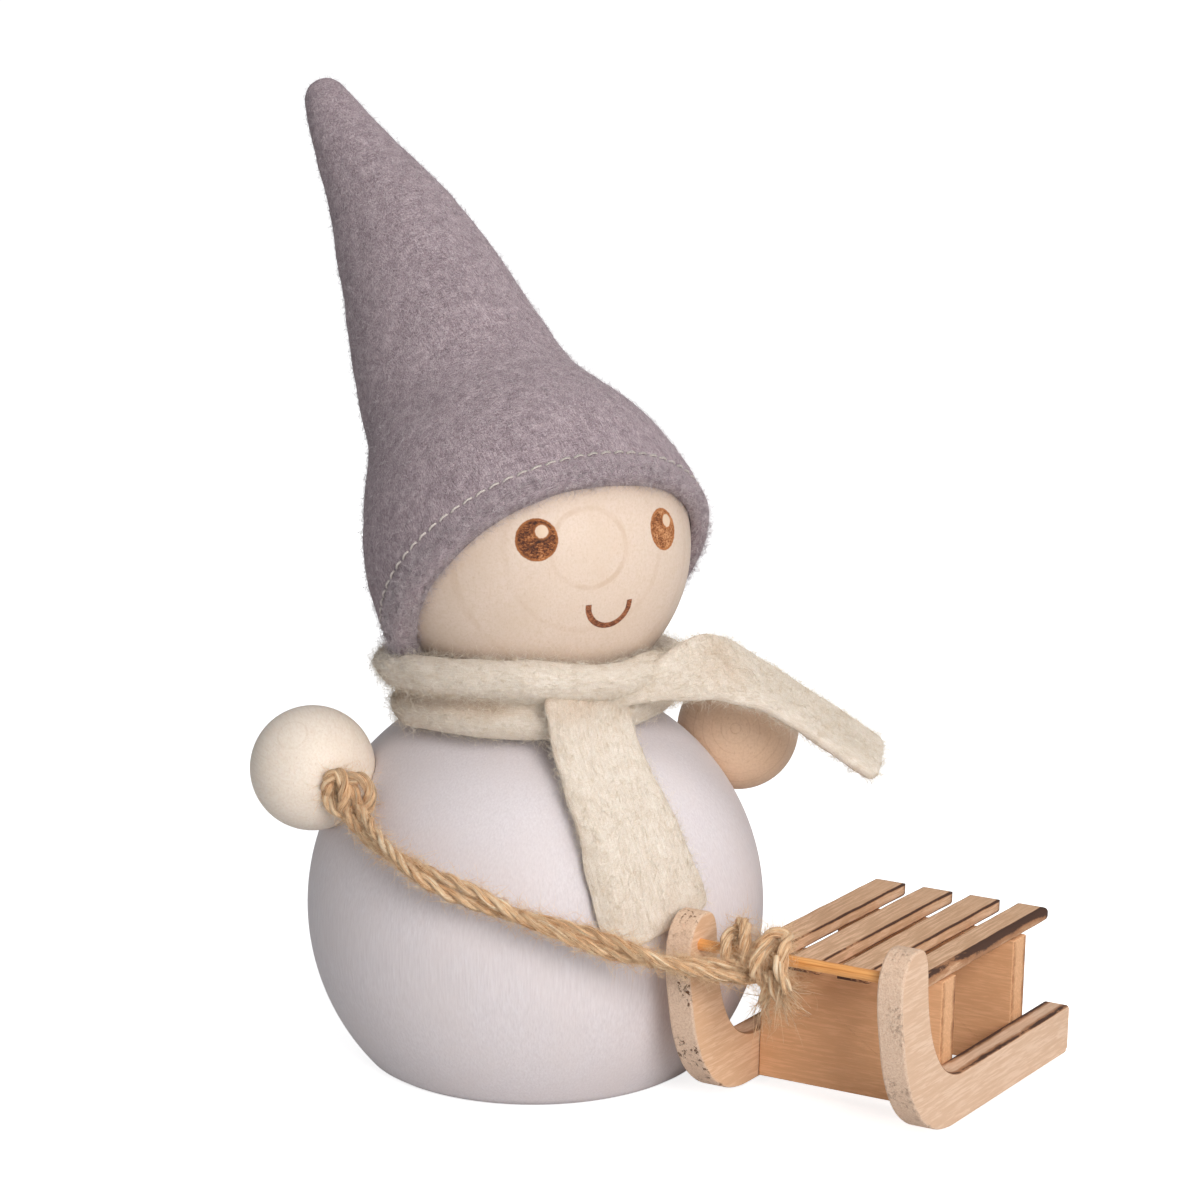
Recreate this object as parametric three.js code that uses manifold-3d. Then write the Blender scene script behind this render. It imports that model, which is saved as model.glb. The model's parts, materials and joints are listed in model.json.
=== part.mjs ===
// A wooden ball figure in a felt hat and scarf, with a small sled on a jute tow cord.
// Millimetres, +Z up. The origin is the centre of the body ball's flat base.
// The figure faces -Y, and its left hand is on the +X side.

import * as THREE from 'three';
import { mergeVertices } from 'three/addons/utils/BufferGeometryUtils.js';
import Module from 'manifold-3d';

const wasm = await Module();
wasm.setup();

// ---------------------------------------------------------------- driving dimensions

const BODY_RADIUS = 50;
const BODY_CENTRE_HEIGHT = 34;
const BASE_CHAMFER_HEIGHT = 1.2;
const HEAD_RADIUS = 33.7;
const HEAD_HEIGHT = 114.8;
const HAND_RADIUS = 13.5;
const HAND_REACH = 48.65;
const HAND_SETBACK = 4.7;
const HAND_HEIGHT = 67.6;

const GAP = 0.3;
const FELT_GAP = 0.55;
const THREAD_CLEARANCE = 1.4;

const NECK_DOWEL_RADIUS = 4;
const NECK_DOWEL_BOTTOM = 70;
const NECK_DOWEL_TOP = 93;
const ARM_DOWEL_RADIUS = 2.5;
const ARM_DOWEL_START = 38;
const ARM_DOWEL_END = 52.5;

// The hat's axis leans back and to the figure's right. Heights along it start at the head's centre.
const HAT_AXIS = new THREE.Vector3(-0.139, 0.764, 0.63).normalize();
const HAT_BRIM = -13.5;
const BRIM_PLANE_NORMAL = new THREE.Vector3(-0.179, 0.773, 0.61).normalize();
const BRIM_PLANE_OFFSET = -11.6;
const HAT_TIP = 137.5;
const FELT_THICKNESS = 3;
const HEM_ABOVE_BRIM = 7.8;
const HEM_THREAD_RADIUS = 0.35;

const SCARF_WIDTH = 20.4;
const SCARF_END_WIDTH = 24;
const SCARF_THICKNESS = 2.3;

const CORD_RADIUS = 2.6;
const CORD_HOLE_RADIUS = 2.9;
const CORD_HOLE_DEPTH = 9;
const HAND_KNOT_RADIUS = 5;

const SLED_LENGTH = 86.4;
const SLED_WIDTH = 54.8;
const RUNNER_THICKNESS = 6;
const RUNNER_BAR_HEIGHT = 10.8;
const DECK_HEIGHT = 31.9;
const SLAT_COUNT = 4;
const SLAT_WIDTH = 7.3;
const SLAT_THICKNESS = 2.8;
const SLAT_PITCH = 11.6;
const SLAT_FRONT = 19.5;
const SLAT_REAR = 87.2;
const PLATE_THICKNESS = 6.5;
const PLATE_BOTTOM = 0.5;
const FRONT_PLATE = 31.7;
const REAR_PLATE = 68;
const TOW_BAR_RADIUS = 1.25;
const TOW_BAR_FORWARD = 3.1;
const TOW_BAR_HEIGHT = 36.8;
const TOW_BAR_SOCKET = 3;

// The sled stands with its tail on the ground and its nose held up by the stiff cord.
const SLED_TAIL = new THREE.Vector3(92.2, -19.5, 0);
const SLED_HEADING = THREE.MathUtils.degToRad(42.3);
const SLED_NOSE_UP = THREE.MathUtils.degToRad(3);

const BALL_SEGMENTS = 34;
const SMALL_BALL_SEGMENTS = 22;
const HAT_SEGMENTS = 34;

// ---------------------------------------------------------------- places worked out from them

const UP = new THREE.Vector3(0, 0, 1);
const LATHE_AXIS = new THREE.Vector3(0, 1, 0);
const bodyCentre = new THREE.Vector3(0, 0, BODY_CENTRE_HEIGHT);
const headCentre = new THREE.Vector3(0, 0, HEAD_HEIGHT);
const handCentre = (side) => new THREE.Vector3(side * HAND_REACH, HAND_SETBACK, HAND_HEIGHT);
const armDirection = (side) => handCentre(side).sub(bodyCentre).normalize();
const armLength = handCentre(1).distanceTo(bodyCentre);
const cordHoleDirection = new THREE.Vector3(0.23, -0.97, -0.06).normalize();
const handKnotCentre = handCentre(-1).addScaledVector(cordHoleDirection, HAND_RADIUS + 2.9);

// ---------------------------------------------------------------- tools

/** Turns a closed geometry into a solid that can be joined and cut. */
function solidOf(geometry, matrix = new THREE.Matrix4()) {
  const bare = geometry.clone();
  bare.deleteAttribute('normal');
  bare.deleteAttribute('uv');
  bare.applyMatrix4(matrix);
  const merged = mergeVertices(bare, 1e-4);
  const mesh = new wasm.Mesh({
    numProp: 3,
    vertProperties: new Float32Array(merged.attributes.position.array),
    triVerts: new Uint32Array(merged.index.array),
  });
  return new wasm.Manifold(mesh);
}

/** Turns a solid back into a geometry. */
function geometryOf(solid) {
  const mesh = solid.getMesh();
  const geometry = new THREE.BufferGeometry();
  geometry.setAttribute('position', new THREE.BufferAttribute(new Float32Array(mesh.vertProperties), 3));
  geometry.setIndex(new THREE.BufferAttribute(new Uint32Array(mesh.triVerts), 1));
  geometry.computeVertexNormals();
  return geometry;
}

/** A mesh with its own material. */
function piece(name, geometry, color, roughness) {
  const material = new THREE.MeshStandardMaterial({ color, roughness, metalness: 0 });
  const mesh = new THREE.Mesh(geometry, material);
  mesh.name = name;
  return mesh;
}

const moveTo = (p) => new THREE.Matrix4().makeTranslation(p.x, p.y, p.z);

function ballSolid(radius, centre, segments) {
  return solidOf(new THREE.SphereGeometry(radius, segments, segments / 2), moveTo(centre));
}

/** A cylinder from one point to another. */
function rodGeometry(radius, length, segments = 20) {
  return new THREE.CylinderGeometry(radius, radius, length, segments).rotateX(Math.PI / 2);
}

function rodSolid(radius, from, to, segments = 20) {
  const along = to.clone().sub(from);
  const middle = from.clone().addScaledVector(along, 0.5);
  const turn = new THREE.Quaternion().setFromUnitVectors(UP, along.clone().normalize());
  const matrix = new THREE.Matrix4().compose(middle, turn, new THREE.Vector3(1, 1, 1));
  return solidOf(rodGeometry(radius, along.length(), segments), matrix);
}

// ---------------------------------------------------------------- wooden balls and dowels

const BIRCH = 0xe8cfae;
const WHITEWASH = 0xe3dee4;

const seatBall = (centre, radius, segments) => ballSolid(radius + GAP, centre, segments);
const neckPoint = (height) => new THREE.Vector3(0, 0, height);
const armPoint = (side, distance) => bodyCentre.clone().addScaledVector(armDirection(side), distance);

function neckHole() {
  return rodSolid(NECK_DOWEL_RADIUS + GAP, neckPoint(NECK_DOWEL_BOTTOM - 1), neckPoint(NECK_DOWEL_TOP + 1));
}

function armHole(side) {
  const from = armPoint(side, ARM_DOWEL_START - 0.5);
  const to = armPoint(side, ARM_DOWEL_END + 0.5);
  return rodSolid(ARM_DOWEL_RADIUS + GAP, from, to);
}

/** The white ball: flat base with a small chamfer, dished seats for the head and hands, dowel holes. */
function bodyBall() {
  const chamferDrop = BODY_CENTRE_HEIGHT - BASE_CHAMFER_HEIGHT;
  const lowest = Math.asin(-chamferDrop / BODY_RADIUS);
  const steps = BALL_SEGMENTS / 2;
  const profile = [new THREE.Vector2(0, 0)];
  profile.push(new THREE.Vector2(BODY_RADIUS * Math.cos(lowest) - 1.5 * BASE_CHAMFER_HEIGHT, 0));
  for (let i = 0; i < steps; i += 1) {
    const angle = lowest + ((Math.PI / 2 - lowest) * i) / steps;
    const height = BODY_CENTRE_HEIGHT + BODY_RADIUS * Math.sin(angle);
    profile.push(new THREE.Vector2(BODY_RADIUS * Math.cos(angle), height));
  }
  profile.push(new THREE.Vector2(0, BODY_CENTRE_HEIGHT + BODY_RADIUS));
  const ball = solidOf(new THREE.LatheGeometry(profile, BALL_SEGMENTS).rotateX(Math.PI / 2));
  const cut = ball
    .subtract(seatBall(headCentre, HEAD_RADIUS, BALL_SEGMENTS))
    .subtract(seatBall(handCentre(1), HAND_RADIUS, SMALL_BALL_SEGMENTS))
    .subtract(seatBall(handCentre(-1), HAND_RADIUS, SMALL_BALL_SEGMENTS))
    .subtract(neckHole())
    .subtract(armHole(1))
    .subtract(armHole(-1));
  return piece('body_ball', geometryOf(cut), WHITEWASH, 0.7);
}

function headBall() {
  const ball = ballSolid(HEAD_RADIUS, headCentre, BALL_SEGMENTS).subtract(neckHole());
  const geometry = geometryOf(ball).translate(0, 0, -HEAD_HEIGHT);
  const mesh = piece('head_ball', geometry, BIRCH, 0.6);
  mesh.position.copy(headCentre);
  return mesh;
}

function neckDowel() {
  const mesh = piece('neck_dowel', rodGeometry(NECK_DOWEL_RADIUS, NECK_DOWEL_TOP - NECK_DOWEL_BOTTOM), BIRCH, 0.7);
  mesh.position.set(0, 0, (NECK_DOWEL_TOP + NECK_DOWEL_BOTTOM) / 2);
  return mesh;
}

/** A hand ball, bored for its arm dowel. The right hand is also bored for the tow cord. */
function handBall(side) {
  const centre = handCentre(side);
  let ball = ballSolid(HAND_RADIUS, centre, SMALL_BALL_SEGMENTS).subtract(armHole(side));
  if (side < 0) {
    const mouth = centre.clone().addScaledVector(cordHoleDirection, HAND_RADIUS + 2);
    const end = centre.clone().addScaledVector(cordHoleDirection, HAND_RADIUS - CORD_HOLE_DEPTH);
    ball = ball.subtract(rodSolid(CORD_HOLE_RADIUS, end, mouth));
  }
  const geometry = geometryOf(ball).translate(-centre.x, -centre.y, -centre.z);
  const mesh = piece(side < 0 ? 'right_hand_ball' : 'left_hand_ball', geometry, BIRCH, 0.6);
  mesh.position.copy(centre);
  return mesh;
}

function armDowel(side) {
  const name = side < 0 ? 'right_arm_dowel' : 'left_arm_dowel';
  const mesh = piece(name, rodGeometry(ARM_DOWEL_RADIUS, ARM_DOWEL_END - ARM_DOWEL_START), BIRCH, 0.7);
  mesh.position.copy(armPoint(side, (ARM_DOWEL_START + ARM_DOWEL_END) / 2));
  mesh.quaternion.setFromUnitVectors(UP, armDirection(side));
  return mesh;
}

// ---------------------------------------------------------------- felt hat

/** Outer radius of the hat against height along its axis, from the brim to the tip. */
function hatOutline(extra) {
  const outline = new THREE.SplineCurve([
    new THREE.Vector2(36.6 + extra, HAT_BRIM + 1),
    new THREE.Vector2(37.3 + extra, -5),
    new THREE.Vector2(36.4 + extra, 5),
    new THREE.Vector2(33.9 + extra, 15),
    new THREE.Vector2(29.7 + extra, 25),
    new THREE.Vector2(25.6 + extra, 33),
    new THREE.Vector2(22.9 + extra, 46),
    new THREE.Vector2(19.9 + extra, 64),
    new THREE.Vector2(15.4 + extra, 89),
    new THREE.Vector2(10.6 + extra, 108),
    new THREE.Vector2(6.6 + extra, 125),
    new THREE.Vector2(4.2 + extra, 134),
  ]);
  return outline.getPoints(15);
}

/** Places a lathe made along +Y onto the hat's axis, standing on the head's centre. */
function hatPlace() {
  const turn = new THREE.Quaternion().setFromUnitVectors(LATHE_AXIS, HAT_AXIS);
  return new THREE.Matrix4().compose(headCentre, turn, new THREE.Vector3(1, 1, 1));
}

/** The space the hat and its hem thread fill, with nothing hollow, for cutting its neighbours. */
function hatEnvelope() {
  const profile = [new THREE.Vector2(0, HAT_BRIM - THREAD_CLEARANCE)];
  profile.push(new THREE.Vector2(36.2 + THREAD_CLEARANCE, HAT_BRIM - THREAD_CLEARANCE));
  profile.push(...hatOutline(THREAD_CLEARANCE));
  profile.push(new THREE.Vector2(0, HAT_TIP));
  return solidOf(new THREE.LatheGeometry(profile, HAT_SEGMENTS), hatPlace());
}

/** Everything below the plane the brim's edge lies in, which leans a little more than the hat does. */
function belowBrim() {
  const turn = new THREE.Quaternion().setFromUnitVectors(LATHE_AXIS, BRIM_PLANE_NORMAL);
  const depth = 20;
  const middle = headCentre.clone().addScaledVector(HAT_AXIS, BRIM_PLANE_OFFSET);
  middle.addScaledVector(BRIM_PLANE_NORMAL, -depth / 2);
  const matrix = new THREE.Matrix4().compose(middle, turn, new THREE.Vector3(1, 1, 1));
  return solidOf(new THREE.BoxGeometry(100, depth, 100), matrix);
}

/** A felt cone stretched over the head. It is hollow, open at the brim, and lies on the body at the nape. */
function feltHat() {
  const cavity = HEAD_RADIUS + GAP;
  const lip = Math.sqrt(cavity ** 2 - HAT_BRIM ** 2);
  const profile = [new THREE.Vector2(0, HAT_TIP)];
  profile.push(...hatOutline(0).reverse());
  profile.push(new THREE.Vector2(35.6, HAT_BRIM));
  profile.push(new THREE.Vector2(lip + 0.4, HAT_BRIM));
  const ballTop = 15;
  const steps = 6;
  for (let i = 0; i <= steps; i += 1) {
    const height = HAT_BRIM + 0.6 + ((ballTop - HAT_BRIM - 0.6) * i) / steps;
    profile.push(new THREE.Vector2(Math.sqrt(cavity ** 2 - height ** 2), height));
  }
  profile.push(new THREE.Vector2(29.7 - FELT_THICKNESS, 24));
  profile.push(new THREE.Vector2(25.6 - FELT_THICKNESS, 32));
  profile.push(new THREE.Vector2(22.9 - FELT_THICKNESS, 46));
  profile.push(new THREE.Vector2(15.4 - FELT_THICKNESS, 89));
  profile.push(new THREE.Vector2(6.6 - FELT_THICKNESS, 125));
  profile.push(new THREE.Vector2(0, 130));
  const cone = solidOf(new THREE.LatheGeometry(profile.reverse(), HAT_SEGMENTS), hatPlace());
  const hat = cone
    .subtract(belowBrim())
    .subtract(ballSolid(BODY_RADIUS + FELT_GAP, bodyCentre, BALL_SEGMENTS));
  return piece('felt_hat', geometryOf(hat), 0x8c8190, 0.95);
}

/** The sewing thread that holds the brim's hem, as a ring just proud of the felt. */
function hemThread() {
  const ringRadius = 37.3 + HEM_THREAD_RADIUS + 0.3;
  const mesh = piece(
    'hat_hem_thread',
    new THREE.TorusGeometry(ringRadius, HEM_THREAD_RADIUS, 4, HAT_SEGMENTS),
    0xe9e4e2,
    0.8,
  );
  mesh.quaternion.setFromUnitVectors(UP, HAT_AXIS);
  mesh.position.copy(headCentre).addScaledVector(HAT_AXIS, HAT_BRIM + HEM_ABOVE_BRIM);
  return mesh;
}

// ---------------------------------------------------------------- felt scarf

// Each row is an azimuth in degrees from the front towards the figure's left, then the band's two edge heights.
const WRAP_EDGES = [
  [-180, 89.5, 75.8],
  [-125, 90, 75.8],
  [-90, 93.4, 76.6],
  [-60, 95.8, 78.8],
  [-18, 97.4, 79],
  [10, 95.2, 79],
  [41, 96.6, 80],
  [70, 97.4, 79],
  [100, 94.6, 77.4],
  [125, 90, 75.8],
  [180, 89.5, 75.8],
];

/** The heights of the band's upper and lower edges at an azimuth. */
function wrapEdges(degrees) {
  let i = 0;
  while (i < WRAP_EDGES.length - 2 && degrees > WRAP_EDGES[i + 1][0]) i += 1;
  const [from, highFrom, lowFrom] = WRAP_EDGES[i];
  const [to, highTo, lowTo] = WRAP_EDGES[i + 1];
  const share = (degrees - from) / (to - from);
  return [THREE.MathUtils.lerp(highFrom, highTo, share), THREE.MathUtils.lerp(lowFrom, lowTo, share)];
}

/** The part round the neck: a band between the head and the body, with a valley between its two rolls. */
function scarfWrap() {
  const sectionBottom = 79;
  const sectionTop = 98;
  const section = new THREE.SplineCurve([
    new THREE.Vector2(26.2, 79.4),
    new THREE.Vector2(28.8, 79),
    new THREE.Vector2(30.8, 81.6),
    new THREE.Vector2(31.1, 84.6),
    new THREE.Vector2(30.6, 87),
    new THREE.Vector2(33.6, 90.4),
    new THREE.Vector2(34.6, 94.6),
    new THREE.Vector2(32.2, 97.8),
    new THREE.Vector2(29.8, 96.8),
    new THREE.Vector2(27.2, 92),
    new THREE.Vector2(25.2, 86),
    new THREE.Vector2(24.6, 81.6),
    new THREE.Vector2(26.2, 79.4),
  ]);
  const profile = section.getPoints(16);
  profile[profile.length - 1].copy(profile[0]);
  const band = new THREE.LatheGeometry(profile, 30).rotateX(Math.PI / 2);
  const position = band.attributes.position;
  for (let i = 0; i < position.count; i += 1) {
    const x = Math.round(position.getX(i) * 1e4) / 1e4;
    const y = Math.round(position.getY(i) * 1e4) / 1e4;
    const azimuth = THREE.MathUtils.radToDeg(Math.atan2(x, -y));
    const [high, low] = wrapEdges(azimuth);
    const share = (position.getZ(i) - sectionBottom) / (sectionTop - sectionBottom);
    position.setZ(i, THREE.MathUtils.lerp(low, high, share));
  }
  return solidOf(band);
}

/** The tail down the front, lying on the body ball along a great circle. */
function scarfFrontTail() {
  const inner = BODY_RADIUS + GAP;
  const start = new THREE.Vector3(5, -21.5, 46.5).normalize();
  const end = new THREE.Vector3(13.2, -48.6, 8.6).normalize();
  const turnAxis = start.clone().cross(end).normalize();
  const arc = start.angleTo(end);
  const strip = new THREE.BoxGeometry(1, 1, SCARF_THICKNESS, 3, 8, 1);
  const position = strip.attributes.position;
  for (let i = 0; i < position.count; i += 1) {
    const along = 0.5 - position.getY(i);
    const across = position.getX(i) * THREE.MathUtils.lerp(SCARF_WIDTH, SCARF_END_WIDTH, along);
    const depth = position.getZ(i) + SCARF_THICKNESS / 2;
    const point = start.clone().applyAxisAngle(turnAxis, arc * along).multiplyScalar(BODY_RADIUS);
    point.addScaledVector(turnAxis, across).setLength(inner + depth).add(bodyCentre);
    position.setXYZ(i, point.x, point.y, point.z);
  }
  return solidOf(strip);
}

/** The tail that flies off over the left shoulder: it leaves the band upright and turns flat. */
function scarfSideTail() {
  const centreline = new THREE.CatmullRomCurve3([
    new THREE.Vector3(12, -28.6, 88.4),
    new THREE.Vector3(22.5, -27.2, 90.4),
    new THREE.Vector3(32, -23.8, 90.6),
    new THREE.Vector3(41.5, -22, 86.8),
    new THREE.Vector3(50.6, -21.8, 80.9),
    new THREE.Vector3(61, -24.6, 73.4),
    new THREE.Vector3(69.8, -27.6, 67.1),
  ]);
  const upright = new THREE.Vector3(-0.05, 0.1, 1);
  const flat = new THREE.Vector3(0.3, 0.93, 0.15);
  const strip = new THREE.BoxGeometry(1, 1, 1, 2, 12, 1);
  const position = strip.attributes.position;
  for (let i = 0; i < position.count; i += 1) {
    const along = 0.5 - position.getY(i);
    const turned = THREE.MathUtils.smoothstep(along, 0.14, 0.56);
    const width = THREE.MathUtils.lerp(9, 18.4, THREE.MathUtils.smoothstep(along, 0.1, 0.5));
    const tangent = centreline.getTangent(along);
    const acrossAxis = upright.clone().lerp(flat, turned);
    acrossAxis.addScaledVector(tangent, -acrossAxis.dot(tangent)).normalize();
    const normal = tangent.clone().cross(acrossAxis);
    const point = centreline.getPoint(along);
    point.addScaledVector(acrossAxis, position.getX(i) * width);
    point.addScaledVector(normal, position.getZ(i) * (SCARF_THICKNESS + 0.6));
    position.setXYZ(i, point.x, point.y, point.z);
  }
  return solidOf(strip);
}

/** One felt strip: a turn round the neck and two tails, clear of the balls and the hat. */
function scarf() {
  const cloth = scarfWrap()
    .add(scarfFrontTail())
    .add(scarfSideTail())
    .subtract(hatEnvelope())
    .subtract(ballSolid(HEAD_RADIUS + FELT_GAP, headCentre, BALL_SEGMENTS))
    .subtract(ballSolid(BODY_RADIUS + FELT_GAP, bodyCentre, BALL_SEGMENTS));
  return piece('scarf', geometryOf(cloth), 0xe6dcc6, 0.95);
}

// ---------------------------------------------------------------- tow cord and its knots

const JUTE = 0xc19a6b;

/** The knot in the right hand, with the cord's end going back into the bored hole. */
function handKnot() {
  const centre = handCentre(-1);
  const plugEnd = centre.clone().addScaledVector(cordHoleDirection, HAND_RADIUS - CORD_HOLE_DEPTH + 1);
  const knot = ballSolid(HAND_KNOT_RADIUS, handKnotCentre, 16)
    .subtract(ballSolid(HAND_RADIUS + GAP, centre, SMALL_BALL_SEGMENTS))
    .add(rodSolid(CORD_HOLE_RADIUS - 0.4, plugEnd, handKnotCentre, 14));
  return piece('hand_knot', geometryOf(knot), JUTE, 0.9);
}

/** The doubled cord from the hand knot, round the front of the body ball, to the sled's nose. */
function towCord() {
  const centreline = new THREE.CatmullRomCurve3([
    new THREE.Vector3(-43.9, -17, 61.4),
    new THREE.Vector3(-42.2, -25, 59.2),
    new THREE.Vector3(-37, -38.4, 56),
    new THREE.Vector3(-28.6, -46.6, 52.9),
    new THREE.Vector3(-19.3, -53.2, 49.3),
    new THREE.Vector3(-10.3, -57.8, 46.3),
    new THREE.Vector3(-1.1, -61.9, 43.2),
    new THREE.Vector3(6.7, -65, 40.9),
    new THREE.Vector3(13.3, -67.1, 39.9),
  ]);
  const section = new THREE.Shape();
  section.absarc(0, 0, CORD_RADIUS, 0, Math.PI * 2);
  const geometry = new THREE.ExtrudeGeometry(section, {
    steps: 24,
    curveSegments: 5,
    extrudePath: centreline,
  });
  return piece('tow_cord', geometry, JUTE, 0.9);
}

/** A knot tied round the tow bar: a squashed ball with a bore for the bar. */
function barKnot(name, side, halfLength, radius, rise) {
  const bore = new THREE.Vector3(0, 0, -rise);
  const ball = solidOf(new THREE.SphereGeometry(1, 16, 10).scale(radius, halfLength, radius));
  const reach = new THREE.Vector3(0, halfLength + 2, 0);
  const hole = rodSolid(TOW_BAR_RADIUS + GAP, bore.clone().sub(reach), bore.clone().add(reach), 14);
  const mesh = piece(name, geometryOf(ball.subtract(hole)), JUTE, 0.9);
  mesh.position.set(TOW_BAR_FORWARD, side, TOW_BAR_HEIGHT + rise);
  return mesh;
}

// ---------------------------------------------------------------- sled
// In the sled's own frame, X runs back from the runners' noses, Y to its left and Z up from the ground.

const PLYWOOD = 0xd9b384;
const insideWidth = SLED_WIDTH - 2 * RUNNER_THICKNESS;

/** A runner's side view: a flat bar that sweeps up at the front into a rounded post. */
function runnerOutline() {
  const outline = new THREE.Shape();
  outline.moveTo(SLED_LENGTH - 1, 0);
  outline.lineTo(SLED_LENGTH, 1);
  outline.lineTo(SLED_LENGTH, RUNNER_BAR_HEIGHT - 0.8);
  outline.lineTo(SLED_LENGTH - 0.8, RUNNER_BAR_HEIGHT);
  outline.lineTo(31, RUNNER_BAR_HEIGHT);
  outline.bezierCurveTo(20, RUNNER_BAR_HEIGHT, 12.6, 20, 11.2, 34.5);
  outline.bezierCurveTo(10.9, 39.5, 10, 42.3, 6.8, 43);
  outline.bezierCurveTo(3.8, 43.4, 0.4, 42, -0.9, 37.5);
  outline.bezierCurveTo(-1.9, 32, -0.2, 27, 1.2, 21.5);
  outline.bezierCurveTo(4.4, 9, 13, 0, 27, 0);
  return outline;
}

/** A runner on the given side, with a blind socket for the tow bar in its inner face. */
function runner(name, side) {
  const options = { depth: RUNNER_THICKNESS, bevelEnabled: false, curveSegments: 9 };
  const blank = new THREE.ExtrudeGeometry(runnerOutline(), options).rotateX(Math.PI / 2);
  blank.translate(0, RUNNER_THICKNESS / 2, 0);
  const inner = (-side * RUNNER_THICKNESS) / 2;
  const mouth = new THREE.Vector3(TOW_BAR_FORWARD, inner - side, TOW_BAR_HEIGHT);
  const end = new THREE.Vector3(TOW_BAR_FORWARD, inner + side * TOW_BAR_SOCKET, TOW_BAR_HEIGHT);
  const bored = solidOf(blank).subtract(rodSolid(TOW_BAR_RADIUS + GAP, mouth, end, 14));
  const mesh = piece(name, geometryOf(bored), PLYWOOD, 0.7);
  mesh.position.set(0, (side * (SLED_WIDTH - RUNNER_THICKNESS)) / 2, 0);
  return mesh;
}

function block(name, x0, x1, width, z0, z1, y) {
  const mesh = piece(name, new THREE.BoxGeometry(x1 - x0, width, z1 - z0), PLYWOOD, 0.7);
  mesh.position.set((x0 + x1) / 2, y, (z0 + z1) / 2);
  return mesh;
}

function slat(index) {
  const y = (SLAT_PITCH * (SLAT_COUNT - 1)) / 2 - SLAT_PITCH * index;
  const bottom = DECK_HEIGHT - SLAT_THICKNESS;
  return block(`deck_slat_${index + 1}`, SLAT_FRONT, SLAT_REAR, SLAT_WIDTH, bottom, DECK_HEIGHT, y);
}

function crossPlate(name, front) {
  const top = DECK_HEIGHT - SLAT_THICKNESS - GAP;
  return block(name, front, front + PLATE_THICKNESS, insideWidth - 2 * GAP, PLATE_BOTTOM, top, 0);
}

function towBar() {
  const length = insideWidth + 2 * (TOW_BAR_SOCKET - GAP);
  const geometry = new THREE.CylinderGeometry(TOW_BAR_RADIUS, TOW_BAR_RADIUS, length, 14);
  const mesh = piece('tow_bar', geometry, 0xd99a4a, 0.5);
  mesh.position.set(TOW_BAR_FORWARD, 0, TOW_BAR_HEIGHT);
  return mesh;
}

/** Everything that is placed in the sled's frame, with the frame's tail end on the ground. */
function sledGroup() {
  const pose = new THREE.Group();
  pose.position.copy(SLED_TAIL);
  pose.rotation.set(0, SLED_NOSE_UP, SLED_HEADING, 'ZYX');
  const sled = new THREE.Group();
  sled.position.set(-SLED_LENGTH, 0, 0);
  sled.add(runner('left_runner', 1), runner('right_runner', -1));
  for (let i = 0; i < SLAT_COUNT; i += 1) {
    sled.add(slat(i));
  }
  sled.add(crossPlate('front_cross_plate', FRONT_PLATE), crossPlate('rear_cross_plate', REAR_PLATE));
  sled.add(towBar());
  sled.add(barKnot('loop_knot', 11.9, 3.7, 4.2, 1.4));
  sled.add(barKnot('frayed_knot', 3, 4.6, 5.2, -1));
  pose.add(sled);
  return pose;
}

// ---------------------------------------------------------------- assembly

const figure = new THREE.Group();
figure.add(bodyBall(), headBall(), neckDowel());
figure.add(handBall(-1), handBall(1), armDowel(-1), armDowel(1));
figure.add(feltHat(), hemThread(), scarf());
figure.add(handKnot(), towCord());
figure.add(sledGroup());

export default figure;
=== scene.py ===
"""Looks of the wooden ball figure with its felt hat, scarf, jute cord and sled. Shapes are in millimetres."""

import json
import math

import bpy
import numpy as np
from mathutils import Matrix, Vector, noise


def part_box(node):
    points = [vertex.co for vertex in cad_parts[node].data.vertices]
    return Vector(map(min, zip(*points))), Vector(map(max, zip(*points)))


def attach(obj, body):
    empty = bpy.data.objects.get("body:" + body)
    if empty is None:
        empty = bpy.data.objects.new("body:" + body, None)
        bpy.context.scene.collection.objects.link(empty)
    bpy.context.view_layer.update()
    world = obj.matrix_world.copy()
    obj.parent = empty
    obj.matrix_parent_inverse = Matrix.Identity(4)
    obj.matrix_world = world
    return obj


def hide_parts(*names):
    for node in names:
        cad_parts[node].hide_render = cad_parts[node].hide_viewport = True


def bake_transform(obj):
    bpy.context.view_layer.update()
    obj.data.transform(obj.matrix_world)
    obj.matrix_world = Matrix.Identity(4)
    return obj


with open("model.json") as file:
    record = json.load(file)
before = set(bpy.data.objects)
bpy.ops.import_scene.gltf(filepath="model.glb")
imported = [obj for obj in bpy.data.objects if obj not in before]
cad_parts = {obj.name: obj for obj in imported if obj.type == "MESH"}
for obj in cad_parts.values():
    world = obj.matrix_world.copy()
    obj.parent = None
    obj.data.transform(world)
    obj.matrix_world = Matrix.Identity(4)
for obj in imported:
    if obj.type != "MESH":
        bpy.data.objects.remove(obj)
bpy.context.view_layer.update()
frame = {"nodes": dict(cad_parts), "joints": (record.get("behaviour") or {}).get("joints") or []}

MM = 0.001
TAU = 2 * math.pi


# ------------------------------------------------------------------ dimensions shared with the CAD

BODY_RADIUS = 50.0
BODY_CENTRE = np.array([0.0, 0.0, 34.0])
HEAD_RADIUS = 33.7
HAND_RADIUS = 13.5
BRIM = -13.5
HEM_STITCH = -5.7
HAT_TIP = 137.5
VIEW_RIGHT = np.array([0.95, -0.311, 0.0])
VIEW_AWAY = np.array([0.311, 0.95, 0.0])


def centre_of(node):
    """The middle of a CAD node's box in millimetres."""
    low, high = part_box(node)
    return (np.array(low) + np.array(high)) * 0.5 / MM


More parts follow.
